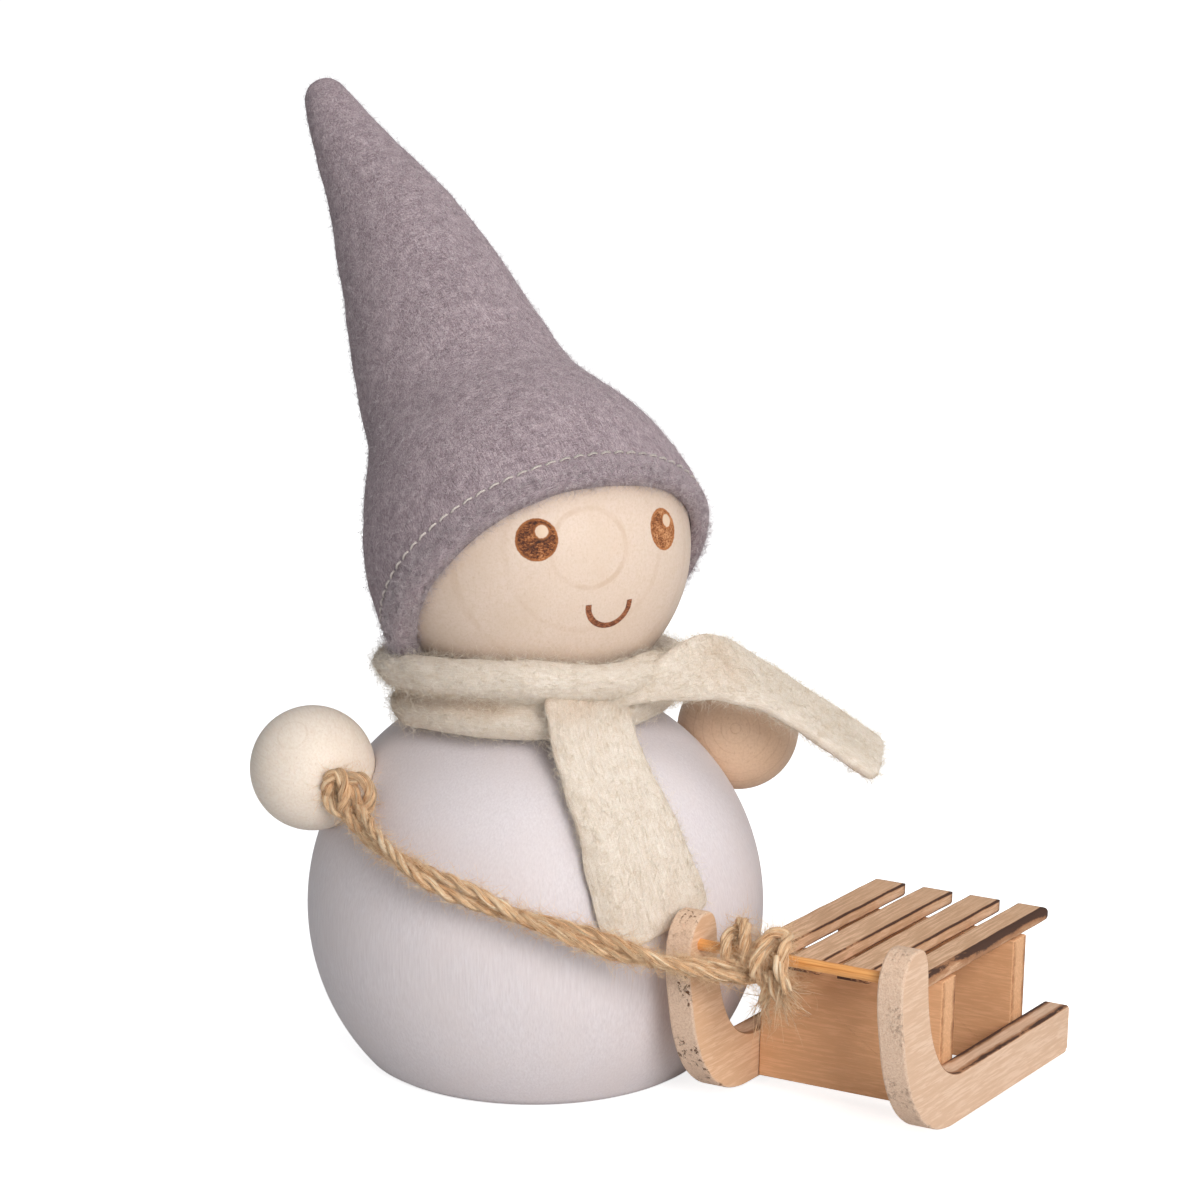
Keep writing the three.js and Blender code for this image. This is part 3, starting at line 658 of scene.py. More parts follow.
def build_hands():
    """The two hand balls. The right one has the bored hole of the cord."""
    verts, faces = ball(HAND_RADIUS, 60, 96)
    add_piece("left_hand", verts + LEFT_HAND, faces, TAN_BIRCH, "figure", ["left_hand_ball"])
    hole, deep = 3.1, 8.0
    mouth = math.acos((hole + 0.5) / HAND_RADIUS)
    profile = [(0, -HAND_RADIUS)] + ball_profile(HAND_RADIUS, -NEAR_POLE, mouth, 60)
    top = HAND_RADIUS * math.sin(mouth)
    profile += [(hole + 0.15, top - 0.15), (hole, top - 0.6), (hole, top - deep / 2), (hole, top - deep),
                (0, top - deep)]
    verts, faces = lathe(profile, 96)
    verts = verts @ turn_to(HOLE_DIRECTION).T + RIGHT_HAND
    add_piece("right_hand", verts, faces, PALE_WOOD, "figure", ["right_hand_ball"], sharp=60)


# ------------------------------------------------------------------ felt hat

# The cone's radius against the height along its axis, from the brim to the tip.
HAT_SHAPE = np.array([
    (-13.5, 36.2), (-11, 37.0), (-8, 37.2), (-5, 37.3), (0, 36.9), (5, 36.3), (11, 35.0), (15, 33.7),
    (20, 31.7), (25, 29.5), (29, 27.6), (33, 25.9), (37, 24.7), (41, 23.8), (46, 23.0), (52, 22.0),
    (58, 21.0), (64, 20.0), (71, 18.7), (78, 17.3), (85, 16.0), (91, 14.7), (98, 12.9), (106, 10.9),
    (114, 9.1), (121, 7.6), (128, 6.2), (132, 5.3), (134.5, 4.6), (136, 3.6), (137, 2.3), (137.5, 0.8),
])
LIP_ROLL = 1.8  # height over which the brim's edge is rounded
HEAD_BAND = 21.8  # height over which the rows of the mesh even out from the brim
SAG_ANGLE = 300  # where the brim sags, in degrees round the hat's axis
BRIM_INSIDE = 35.5


def hat_radius(height):
    """The cone's radius at a height along its axis."""
    return np.interp(height, HAT_SHAPE[:, 0], HAT_SHAPE[:, 1])


# Two directions across the hat: to the right as the camera sees it, and away from the camera.
HAT_RIGHT = unit(VIEW_RIGHT - HAT_AXIS * np.dot(VIEW_RIGHT, HAT_AXIS))
HAT_BACK = np.cross(HAT_AXIS, HAT_RIGHT)


def hat_point(height, radius, angle):
    """A point of the hat. The cone bows a little to the figure's left in its upper half."""
    bow = 2.0 * smoothstep(height, 40, 88) * (1 - smoothstep(height, 92, 130))
    around = HAT_RIGHT * math.cos(angle) + HAT_BACK * math.sin(angle)
    return HEAD + HAT_AXIS * height + HAT_RIGHT * bow + around * radius


def hat_lip(angle):
    """How far down the brim reaches at this angle. It is turned up where it would meet the body ball."""
    turn = (math.degrees(angle) - SAG_ANGLE + 180) % 360 - 180
    sag = 1.2 * math.exp(-(turn / 24) ** 2)
    height = BRIM + 1.6 + 1.6 * math.cos(angle) + 0.9 * max(0.0, -math.sin(angle)) - sag
    clear = BODY_RADIUS + 0.9
    while height < 0 and np.linalg.norm(hat_point(height, BRIM_INSIDE, angle) - BODY_CENTRE) < clear:
        height += 0.25
    return height


def hat_surface(height, angle):
    """A point of the outer felt, with lumps, creases above the head and the dimple of the hem stitch."""
    radius = hat_radius(height)
    p = hat_point(height, radius, angle)
    taper = smoothstep(HAT_TIP - height, 0, 12)
    fold = smoothstep(height, 18, 30) * (1 - smoothstep(height, 44, 60))
    lump = 0.26 * wobble(p, 9) + 0.14 * wobble(p, 3.2, 5.0) + 0.10 * wobble(p, 1.1, 9.0)
    crease = 0.5 * wobble((math.cos(angle) * 3, math.sin(angle) * 3, height / 16), 1.3, 3.0)
    dimple = -0.40 * math.exp(-((height - HEM_STITCH) / 0.8) ** 2)
    hem = 0.28 * math.exp(-((height - HEM_STITCH + 3.6) / 2.2) ** 2)
    return hat_point(height, radius + lump * taper + crease * fold + dimple + hem, angle)


def build_hat():
    """The felt cone from its lining over the rolled brim to the tip, with three kinds of fuzz."""
    angles = np.linspace(0, TAU, 220, endpoint=False)
    lips = np.array([hat_lip(a) for a in angles])
    lips = np.maximum(smoothed(lips, 8), lips - 0.2)
    lips = lips + [0.22 * wobble((math.cos(a) * 36, math.sin(a) * 36, 0), 7, 2.0) for a in angles]
    lining = lambda height: math.sqrt((HEAD_RADIUS + 0.3) ** 2 - height**2)
    rows = [[hat_point(height, lining(height), a) for a in angles] for height in (15.0, 11.0, 6.0, 2.0)]
    for up in (5.0, 0.7):
        rows.append([hat_point(lip + up, lining(lip + up), a) for lip, a in zip(lips, angles)])
    for up, inset in ((0.0, 2.3), (0.05, 1.5), (0.35, 0.75), (0.95, 0.22), (LIP_ROLL, 0.0)):
        radius = hat_radius(BRIM + LIP_ROLL) - inset
        rows.append([hat_point(lip + up, radius, a) for lip, a in zip(lips, angles)])
    straight = BRIM + HEAD_BAND
    for share in np.linspace(0, 1, 40)[1:]:
        heights = lips + LIP_ROLL + share * (straight - lips - LIP_ROLL)
        rows.append([hat_surface(height, a) for height, a in zip(heights, angles)])
    for height in np.linspace(straight, HAT_TIP, 160)[1:]:
        rows.append([hat_surface(height, a) for a in angles])
    verts, faces = loft(rows)
    local = verts - HEAD
    lay = np.stack([local @ HAT_RIGHT, local @ HAT_AXIS, local @ HAT_BACK], axis=1)
    hat = add_piece("hat", verts, faces, GREY_FELT, "figure", ["felt_hat"], attributes={"lay": lay})
    outside = lambda p: (np.linalg.norm(p - HEAD, axis=1) > HEAD_RADIUS + 1.2) * 1.0
    fibres("hat_fuzz", hat, 17000, 11, (0.8, 2.2), 0.030, (0.02, 0.38), GREY_FIBRE, "figure", keep=outside)
    rim = lambda p: outside(p) * (((p - HEAD) @ HAT_AXIS) < BRIM + 5)
    fibres("hat_brim_fuzz", hat, 8500, 12, (0.9, 2.9), 0.026, (0.15, 0.9), GREY_FIBRE, "figure", keep=rim)
    fibres("hat_edge_fuzz", hat, 9000, 13, (0.8, 2.1), 0.024, (0.4, 1.1), GREY_FIBRE, "figure", keep=outside)


THREAD_RADIUS, STITCH_PITCH, STITCH_LENGTH = 0.24, 3.2, 2.3


def build_stitches():
    """The hem's running stitch: short thread loops that dip into the felt at both ends."""
    felt_radius = hat_radius(HEM_STITCH)
    count = int(TAU * felt_radius / STITCH_PITCH)
    span = STITCH_LENGTH / felt_radius
    verts, faces, lay = [], [], []
    for i in range(count):
        start = TAU * i / count
        path = []
        for t in np.linspace(0, 1, 9):
            rise = 0.42 * math.sin(math.pi * t) - 0.36
            path.append(hat_point(HEM_STITCH + 0.25 * (t - 0.5), felt_radius + rise, start + span * t))
        path = np.array(path)
        _, side, up = path_frames(path)
        v, f = loft([tube_ring(p, THREAD_RADIUS, a, b, 8) for p, a, b in zip(path, side, up)])
        base = sum(len(x) for x in verts)
        verts.append(v)
        faces += [tuple(base + q for q in face) for face in f]
        lay += [(0.3 * (k // 8), k % 8, i) for k in range(len(v))]
    add_piece("hem_stitches", np.vstack(verts), faces, THREAD, "figure", ["hat_hem_thread"],
              attributes={"lay": lay})


# ------------------------------------------------------------------ felt scarf


def clear_of_hat(p):
    """Moves a point that would be inside the hat's felt out to its surface."""
    local = p - HEAD
    height = np.dot(local, HAT_AXIS)
    out = local - HAT_AXIS * height
    radius = np.linalg.norm(out)
    angle = math.atan2(np.dot(out, HAT_BACK), np.dot(out, HAT_RIGHT))
    lip = hat_lip(angle)
    if height < lip - 0.5 or height > 60:
        return p
    push = hat_radius(max(height, BRIM + LIP_ROLL)) + 0.35 - radius
    if push <= 0 or radius < 1e-6:
        return p
    drop = height - (lip - 0.5)
    return p - HAT_AXIS * drop if drop < push else p + out / radius * push


def clear_of_ball(p, centre, radius):
    """Moves a point that would be inside a ball out to its surface."""
    offset = p - centre
    away = np.linalg.norm(offset)
    return p if away >= radius else centre + offset / away * radius


# The band's cross-section as radius and height.
WRAP_SECTION = np.array([
    (26.6, 79.6), (28.6, 79.0), (30.2, 80.2), (31.0, 82.4), (31.1, 84.6), (30.3, 86.4), (30.3, 87.4),
    (31.6, 88.8), (33.6, 90.4), (34.6, 92.6), (34.7, 95.0), (33.6, 97.1), (31.4, 98.0), (29.4, 97.2),
    (28.4, 94.9), (26.6, 91.2), (25.2, 86.6), (24.8, 82.4),
])
# The band's upper and lower edges against the azimuth in degrees from the front towards the figure's left.
WRAP_EDGES = np.array([
    (-180, 89.5, 75.6), (-150, 89.5, 75.6), (-125, 90.0, 75.8), (-108, 92.0, 76.0), (-90, 93.4, 76.6),
    (-60, 95.8, 78.8), (-18, 97.4, 79.0), (-5, 96.2, 79.0), (10, 95.2, 79.0), (20, 94.6, 79.2),
    (30, 95.4, 79.6), (41, 95.2, 80.0), (52, 92.6, 79.8), (70, 90.4, 79.0), (90, 90.2, 78.0),
    (104, 90.0, 77.2), (122, 89.6, 76.2), (180, 89.5, 75.6),
])
KNOT_AZIMUTH = 41  # where the band is drawn together, from the front towards the figure's left
NECK_OUTSIDE = 29.0  # distance from the neck's axis beyond which the band can be seen


def build_wrap():
    """The turn round the neck: two soft rolls with a hollow between them, drawn together at the knot. Painted
    shade darkens the hollow.
    """
    section = spline(np.vstack([WRAP_SECTION, WRAP_SECTION[:1]]), 49)[:-1]
    low, high, crease = 79.0, 98.0, 86.9  # heights in the cross-section
    around = run_along(section)
    rings, painted_shade, lay = [], [], []
    steps = 260
    turn = [-180 + 360 * i / steps for i in range(steps)]
    edges = np.stack([np.interp(turn, WRAP_EDGES[:, 0], WRAP_EDGES[:, k]) for k in (1, 2)], axis=1)
    for degrees, (top, bottom) in zip(turn, smoothed(edges, 5)):
        azimuth = math.radians(degrees)
        pinch = math.exp(-((degrees - KNOT_AZIMUTH) / 15) ** 2)
        open_side = float(smoothstep(-degrees, 5, 55) * smoothstep(degrees, -125, -100))
        direction = np.array([math.sin(azimuth), -math.cos(azimuth), 0.0])
        ring = []
        for k, (r, z) in enumerate(section):
            outer = r > 29.6
            deep = math.exp(-((z - crease) / (1.5 + 0.9 * open_side)) ** 2) * outer
            r = r - deep * (0.5 + 1.3 * open_side) - 1.5 * pinch * outer
            z = bottom + (z - low) * (top - bottom) / (high - low)
            p = direction * r + np.array([0, 0, z])
            p = p + direction * (0.5 * wobble(p, 7) + 0.22 * wobble(p, 2.4, 4.0)) * outer
            p[2] += 0.3 * wobble(p, 8, 7.0)
            p = clear_of_hat(p)
            p = clear_of_ball(p, HEAD, HEAD_RADIUS + 0.25)
            p = clear_of_ball(p, BODY_CENTRE, BODY_RADIUS + 0.2)
            ring.append(p)
            # Painted shade in the hollow between the rolls, strongest on the open side.
            painted_shade.append(deep * (0.25 + 0.75 * open_side))
            lay.append((azimuth * 33, around[k], 0))
        rings.append(ring)
    verts, faces = loft(rings, closed=True)
    faces = [f[::-1] for f in faces]
    wrap = add_piece("scarf_wrap", verts, faces, CREAM_FELT, "figure", ["scarf"],
                     attributes={"painted_shade": painted_shade, "lay": lay})
    along = lambda p: unit(np.stack([-p[:, 1], p[:, 0], 0 * p[:, 0]], axis=1))
    outside = lambda p: (np.linalg.norm(p[:, :2], axis=1) > NECK_OUTSIDE) * 1.0
    fibres("scarf_wrap_fuzz", wrap, 6800, 21, (1.5, 5.0), 0.028, (0.02, 0.30), CREAM_FIBRE, "figure",
           lay=along, keep=outside)
    fibres("scarf_wrap_edge_fuzz", wrap, 5000, 22, (1.2, 3.6), 0.023, (0.3, 1.0), CREAM_FIBRE, "figure",
           keep=outside)


def strip(name, centres, across, outward, width, thickness, seed, shade):
    """A felt strip with soft thick edges and rounded ends along a path. Returns the object."""
    n = len(centres)
    run = run_along(centres)
    turn = np.linspace(0, TAU, 48, endpoint=False)
    section = np.stack([np.sign(np.cos(turn)) * np.abs(np.cos(turn)) ** 0.55,
                        np.sign(np.sin(turn)) * np.abs(np.sin(turn)) ** 0.8], axis=1)
    corner_radius = 3.0
    rings, painted_shade, lay = [], [], []
    for i in range(n):
        end = min(run[i], run[-1] - run[i])
        close = math.sqrt(max(0.02, 1 - (1 - min(1.0, end / 1.3)) ** 2))
        short = corner_radius - min(corner_radius, end)
        corner = corner_radius - math.sqrt(max(0.0, corner_radius**2 - short**2))
        ring = []
        for x, y in section:
            w = (width[i] * 0.5 - corner) * x
            p = centres[i] + across[i] * w + outward[i] * thickness * 0.5 * y * close
            ripple, lump = 0.35 * wobble(p, 5, seed) * abs(x), 0.26 * wobble(p, 6, seed + 3)
            p = p + across[i] * ripple + outward[i] * lump
            p = p + outward[i] * 0.10 * wobble(p, 1.6, seed + 6)
            ring.append(p)
            # shade gives the painted shade at each point of the strip.
            painted_shade.append(shade(i / (n - 1), x, y))
            lay.append((run[i], w, y))
        rings.append(ring)
    verts, faces = loft(rings)
    return add_piece(name, verts, faces, CREAM_FELT, "figure", (),
                     attributes={"painted_shade": painted_shade, "lay": lay})


# How far out from the neck's axis the front tail hangs, against the height, before it lies on the body.
FRONT_DROP = ((29.6, 90.2), (30.5, 88.4), (30.9, 86.2), (31.1, 83.6), (31.7, 80.8), (33.0, 77.4),
              (34.9, 73.8), (37.5, 70.0), (40.2, 66.6))


def build_front_tail():
    """It comes out of the band's hollow, drops over the lower roll and widens as it lies on the body ball."""
    start, end = unit([9.6, -41.4, 29.4]), unit([13.7, -48.8, 6.0])
    axis = unit(np.cross(start, end))
    arc = math.acos(np.dot(start, end))
    steps = 60
    thickness = 2.6
    share = np.arange(steps)[:, None] / (steps - 1)
    outward = start * np.cos(arc * share) + np.cross(axis, start) * np.sin(arc * share)
    bow = 0.052 + 0.022 * np.sin(math.pi * share) - 0.034 * share
    outward = unit(outward - axis * bow)
    lying = BODY_CENTRE + outward * (BODY_RADIUS + 0.25 + thickness / 2)
    heading = math.atan2(lying[0][0], -lying[0][1])
    drop = []
    for reach, z in FRONT_DROP:
        azimuth = heading - 0.0042 * (z - lying[0][2])
        drop.append(np.array([math.sin(azimuth) * reach, -math.cos(azimuth) * reach, z]))
    centres = spline(np.vstack([drop, lying[2::6]]), 120)
    tangent = unit(np.gradient(centres, axis=0))
    across = unit(axis - tangent * (tangent @ axis)[:, None])
    width = 20.6 + 6.0 * smoothstep(np.arange(120) / 119, 0.15, 0.95)
    # Painted shade along both long edges and where the tail comes out from under the upper roll.
    shade = lambda s, x, y: 0.3 * (abs(x) > 0.93) + 0.8 * math.exp(-(s / 0.10) ** 2)
    facing = unit(np.cross(tangent, across))
    tail = strip("scarf_front_tail", centres, across, facing, width, thickness, 31.0, shade)
    for vertex in tail.data.vertices:
        p = np.array(vertex.co) / MM
        offset = p - BODY_CENTRE
        reach = np.linalg.norm(offset)
        rim = 0.5 * min(1.3, abs(np.dot(offset, axis)) / 13.0) ** 4
        over_roll = 14.0 * float(smoothstep(p[2], 58.0, 72.0))
        limit = BODY_RADIUS + 2.85 - rim + over_roll
        vertex.co = (BODY_CENTRE + offset / reach * np.clip(reach, BODY_RADIUS + 0.2, limit)) * MM
    rims = lambda p: 0.15 + (np.abs((p - BODY_CENTRE) @ axis + 1.6) > 9.0)
    fibres("scarf_front_edge_fuzz", tail, 2600, 34, (1.0, 3.0), 0.024, (0.1, 0.9), CREAM_FIBRE, "figure",
           keep=rims)
    fibres("scarf_front_fuzz", tail, 3600, 33, (1.2, 3.6), 0.026, (0.02, 0.3), CREAM_FIBRE, "figure",
           lay=one_way(0.2, -0.6, -0.8))


def build_side_tail():
    """It starts inside the band, leaves it upright at the left shoulder and turns flat as it flies out."""
    path = spline([(2.0, -27.6, 87.4), (12.0, -28.6, 88.4), (22.5, -27.2, 90.4), (32.0, -23.8, 90.6),
                   (41.5, -22.0, 86.8), (50.6, -21.8, 80.9), (61.0, -24.6, 73.4), (69.8, -27.6, 67.1)], 110)
    tangent = unit(np.gradient(path, axis=0))
    upright, flat = unit([-0.05, 0.1, 1.0]), unit([0.28, 0.91, 0.28])
    share = np.arange(len(path)) / (len(path) - 1)
    turned = smoothstep(share, 0.22, 0.62)[:, None] * math.pi / 2
    across = upright * np.cos(turned) + flat * np.sin(turned)
    across = unit(across - tangent * np.sum(across * tangent, axis=1, keepdims=True))
    width = 6.5 + 6.5 * smoothstep(share, 0.12, 0.36) + 5.5 * smoothstep(share, 0.3, 0.6)
    outward = unit(np.cross(tangent, across))
    # Painted shade: a tan spot where the tail twists.
    shade = lambda s, x, y: 0.9 * math.exp(-((s - 0.42) / 0.07) ** 2) * math.exp(-((x - 0.1) / 0.6) ** 2)
    tail = strip("scarf_side_tail", path, across, outward, width, 3.9, 41.0, shade)
    for vertex in tail.data.vertices:
        p = clear_of_hat(np.array(vertex.co) / MM)
        p = clear_of_ball(p, HEAD, HEAD_RADIUS + 0.3)
        p = clear_of_ball(p, BODY_CENTRE, BODY_RADIUS + 0.3)
        vertex.co = clear_of_ball(p, LEFT_HAND, HAND_RADIUS + 0.4) * MM
    fibres("scarf_side_edge_fuzz", tail, 3800, 44, (1.0, 3.2), 0.023, (0.3, 1.0), CREAM_FIBRE, "figure")
    fibres("scarf_side_fuzz", tail, 3400, 43, (1.4, 4.4), 0.027, (0.02, 0.35), CREAM_FIBRE, "figure",
           lay=one_way(0.9, 0.0, -0.35))


# ------------------------------------------------------------------ jute cord


class Yarn:
    """Collects twisted cords into one mesh, with each strand a closed tube."""

    def __init__(self):
        self.verts, self.faces, self.lay, self.size = [], [], [], 0

    def strand(self, path, radius, sides=8):
        """One uneven strand. radius is a number or one number for each point."""
        _, side, up = path_frames(path)
        radius = np.broadcast_to(radius, len(path))
        run = run_along(path)
        rings = []
        for i, (p, a, b) in enumerate(zip(path, side, up)):
            uneven = 1 + 0.22 * wobble((run[i], self.size * 0.01, 0), 2.6)
            rings.append(tube_ring(p, radius[i] * uneven, a, b, sides))
            self.lay += [(run[i], max(radius) * TAU * k / sides, self.size * 0.37) for k in range(sides)]
        v, f = loft(rings)
        self.faces += [tuple(self.size + q for q in face) for face in f]
        self.verts.append(v)
        self.size += len(v)

    def cord(self, path, radius, pitch, phase):
        """Three strands twisted round a path."""
        for k in range(3):
            turn = TAU * run_along(path) / pitch + phase + TAU * k / 3
            self.strand(twisted(path, radius * 0.5, turn), radius * 0.56)

    def piece(self, name, body, replaces=()):
        return add_piece(name, np.vstack(self.verts), self.faces, JUTE, body, replaces, {"lay": self.lay})


# The middle of the doubled cord, from the hand to the sled.
ROPE = np.array([
    (-44.6, -15.2, 62.6), (-43.6, -19.0, 60.9), (-42.3, -24.8, 59.2), (-40.1, -31.4, 57.6),
    (-36.4, -39.0, 55.8), (-28.6, -46.9, 52.9), (-19.3, -53.5, 49.3), (-10.3, -58.1, 46.3),
    (-1.1, -61.9, 43.1), (6.9, -64.8, 40.7), (13.8, -67.0, 39.6), (19.6, -68.6, 38.6), (23.6, -69.6, 38.2),
])
CORD, STRAND = 1.3, 0.76  # radii of one cord in a knot, and of one of the drawn cord's strands


def rope_pair():
    """The two cords' paths: side by side, turning slowly round each other."""
    path = spline(ROPE, 330)
    run = run_along(path)
    turn = TAU * run / 62 + 0.9
    return [twisted(path, 1.22 + 0.12 * np.sin(run / 5.0 + k), turn + math.pi * k) for k in range(2)]


def build_rope():
    """The two cords, cut at their middle into two halves."""
    pair = rope_pair()
    half = len(pair[0]) // 2
    first, second = Yarn(), Yarn()
    for k, path in enumerate(pair):
        run = run_along(path)
        for s in range(3):
            turn = TAU * run / 13.5 + 1.7 * k + TAU * s / 3 + 0.35 * np.sin(run / 7.3 + 1.9 * s)
            strand = twisted(path, 0.68 + 0.12 * np.sin(run / 3.1 + 2.3 * s + k), turn)
            first.strand(strand[:half + 1], STRAND)
            second.strand(strand[half:], STRAND)
    halves = (("hand", first, ["tow_cord"], 3300, 51, 5.0, ("figure", "rope"), ROPE[0], ROPE[3]),
              ("sled", second, (), 3900, 52, 5.5, ("rope", "tow_knot"), ROPE[9], ROPE[11]))
    for end, yarn, replaced, count, seed, longest, bodies, bend_start, bend_end in halves:
        cord = yarn.piece(f"cord_{end}_half", None, replaced)
        hairs = fibres(f"cord_{end}_fibres", cord, count, seed, (1.0, longest), 0.031, (0.02, 0.5),
                       JUTE_FIBRE, None, lay=one_way(0.8, -0.5, -0.3))
        for piece in (cord, hairs):
            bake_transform(piece)


def build_hand_knot():
    """Two bights of cord that come out of the bored hole and cross, with both cords leaving below."""
    centre = RIGHT_HAND + HOLE_DIRECTION * (HAND_RADIUS + 2.6)
    right, away, up = VIEW_RIGHT, VIEW_AWAY, np.array([0, 0, 1.0])

    def at(x, z, front):
        return centre + right * x + up * z - away * front

    yarn = Yarn()
    left = ((-1.0, 0.0, -4.5), (-3.6, -1.2, -1.8), (-4.4, 0.6, 0.2), (-3.8, 3.0, 0.9), (-2.0, 4.1, 1.3),
            (-0.7, 2.4, 2.2), (-0.5, -0.4, 2.6), (-0.9, -3.0, 1.8), (0.0, -5.0, 0.6))
    bight = ((0.6, 0.4, -4.5), (0.3, 1.6, -0.6), (0.9, 3.2, 1.4), (2.8, 3.4, 2.0), (4.4, 1.6, 1.8),
             (4.8, -1.0, 1.2), (4.0, -3.4, 0.8), (2.4, -5.0, 0.5))
    under = ((-4.0, 1.2, -1.6), (-4.4, -1.6, -0.4), (-3.0, -3.8, 0.6), (-1.0, -4.6, 0.8), (0.6, -5.4, 0.2))
    cross = ((-1.4, 2.6, -0.6), (0.4, 1.2, 1.2), (1.6, -0.8, 1.6), (1.9, -3.0, 1.2), (1.6, -5.2, 0.4))
    for k, points in enumerate((left, bight, under, cross)):
        yarn.cord(spline([at(*point) for point in points], 60), 1.42, 10.0, 1.3 * k)
    plug = [centre - HOLE_DIRECTION * depth for depth in (9.0, 4.0, 0.5)]
    yarn.cord(spline(plug, 20), 2.1, 14.0, 0.4)
    ends = rope_pair()
    for k, start in enumerate((at(-0.4, -3.4, 1.2), at(2.0, -3.2, 1.0))):
        path = spline([start, (start + ends[k][0]) / 2 + up * -0.3, ends[k][0], ends[k][6]], 26)
        yarn.cord(path, CORD, 13.0, 2.0 * k)
    knot = yarn.piece("hand_knot_cords", "figure", ["hand_knot"])
    fibres("hand_knot_fibres", knot, 1300, 61, (1.2, 5.0), 0.028, (0.03, 0.6), JUTE_FIBRE, "figure")


# ------------------------------------------------------------------ sled
# In the sled's own frame X runs back from the noses, Y from the left runner to the right one, Z up.

TIP = next(joint for joint in frame["joints"] if joint["name"] == "sled_tip")
SLED_WIDTH, RUNNER, LENGTH, BAR_HEIGHT = 54.8, 6.0, 86.4, 10.8
BAR = np.array([3.1, 20.0, 36.8])
NOSE_UP = math.radians(3)
Y_AXIS = unit(TIP["axis"])
BACK = np.array([-Y_AXIS[1], Y_AXIS[0], 0.0])
X_AXIS = BACK * math.cos(NOSE_UP) - np.array([0, 0, math.sin(NOSE_UP)])
Z_AXIS = np.cross(Y_AXIS, X_AXIS)
PIVOT = np.array(TIP["pos_m"]) / MM
ORIGIN = PIVOT - X_AXIS * BAR[0] - Y_AXIS * BAR[1] - Z_AXIS * BAR[2]


def sled_point(x, y, z):
    """A point of the sled in the figure's frame."""
    return ORIGIN + X_AXIS * x + Y_AXIS * y + Z_AXIS * z


def sled_place(x, y, z):
    """The matrix of a sled piece's own frame, whose Y runs opposite to the sled's."""
    matrix = np.eye(4)
    matrix[:3] = np.column_stack([X_AXIS, -Y_AXIS, Z_AXIS, sled_point(x, y, z) * MM])
    return Matrix(matrix.tolist())


def inward_of(outline):
    """The inward direction at each point of a closed outline that runs anticlockwise."""
    tangent = unit(np.roll(outline, -1, axis=0) - np.roll(outline, 1, axis=0))
    return np.stack([-tangent[:, 1], tangent[:, 0]], axis=1)


def prism(outline, depth, bevel, burn, end):
    """A plate from a closed 2-D outline, with bevelled rims. Returns its marks as well."""
    inward = inward_of(outline)
    half = [(depth / 2, bevel, 0.0), (depth / 2 - 0.3 * bevel, 0.3 * bevel, 0.85),
            (depth / 2 - bevel, 0.0, 1.0), (depth / 6, 0.0, 0.2)]
    rings, burns, ends = [], [], []
    for level, inset, rim in [(-level, inset, rim) for level, inset, rim in half] + half[::-1]:
        flat = outline + inward * inset
        rings.append(np.column_stack([flat, np.full(len(flat), level)]))
        burns += list(np.asarray(burn) * rim)
        ends += list(np.asarray(end) * (1.0 if inset < bevel * 0.9 else 0.0))
    verts, faces = loft(rings)
    return verts, faces, {"burn": burns, "end": ends}


def bezier(a, b, c, d, count):
    """Points on a cubic curve, without its last one."""
    t = np.linspace(0, 1, count, endpoint=False)[:, None]
    a, b, c, d = (np.array(p, float) for p in (a, b, c, d))
    return a * (1 - t) ** 3 + 3 * b * t * (1 - t) ** 2 + 3 * c * t**2 * (1 - t) + d * t**3


def line(a, b, count):
    """Points on a straight line, without its last one."""
    t = np.linspace(0, 1, count, endpoint=False)[:, None]
    return np.array(a, float) * (1 - t) + np.array(b, float) * t


def runner_outline():
    """Side view, anticlockwise from the tail, with char and end-grain amounts for each point."""
    high = BAR_HEIGHT
    parts = [
        (line((LENGTH, 1.0), (LENGTH, high - 0.8), 8), 0.25, 0.3),
        (line((LENGTH, high - 0.8), (LENGTH - 0.8, high), 3), 0.8, 0.2),
        (line((LENGTH - 0.8, high), (31, high), 46), 1.0, 0.0),
        (bezier((31, high), (20, high), (12.6, 20), (11.2, 34.5), 40), 0.85, 0.0),
        (bezier((11.2, 34.5), (10.9, 39.5), (10, 42.3), (6.8, 43), 14), 0.35, 0.1),
        (bezier((6.8, 43), (3.8, 43.4), (0.4, 42), (-0.9, 37.5), 14), 0.1, 0.7),
        (bezier((-0.9, 37.5), (-1.9, 32), (-0.2, 27), (1.2, 21.5), 24), 0.1, 1.0),
        (bezier((1.2, 21.5), (4.4, 9), (13, 0), (27, 0), 40), 0.15, 1.0),
        (line((27, 0), (LENGTH - 1, 0), 46), 0.1, 0.6),
        (line((LENGTH - 1, 0), (LENGTH, 1.0), 3), 0.1, 0.4),
    ]
    points = np.vstack([p for p, _, _ in parts])
    burn = np.concatenate([np.full(len(p), b) for p, b, _ in parts])
    end = np.concatenate([np.full(len(p), e) for p, _, e in parts])
    return points, smoothed(burn, 4), smoothed(end, 4)


def build_runners():
    """Both runners, alike in outline. They differ in the cut of their plywood."""
    points, burn, end = runner_outline()
    for node, y, ply, weight in (("left_runner", RUNNER / 2, PLY_LEFT, 0.75),
                                 ("right_runner", SLED_WIDTH - RUNNER / 2, PLY_RIGHT, 1.0)):
        verts, faces, marks = prism(points, RUNNER, 0.5, burn * weight, end)
        verts = np.column_stack([verts[:, 0], -verts[:, 2], verts[:, 1]])
        add_piece(node + "_ply", verts, faces, ply, "sled", [node], marks, 20, sled_place(0, y, 0))


def rounded_rectangle(width, height, corners, steps):
    """An anticlockwise outline. The corners' radii start at the upper right."""
    points = []
    centres = ((1, 1, 0), (-1, 1, 90), (-1, -1, 180), (1, -1, 270))
    for (sx, sy, start), radius in zip(centres, corners):
        cx, cy = sx * (width / 2 - radius), sy * (height / 2 - radius)
        for k in range(steps + 1):
            angle = math.radians(start + 90 * k / steps)
            points.append((cx + radius * math.cos(angle), cy + radius * math.sin(angle)))
    return np.array(points)


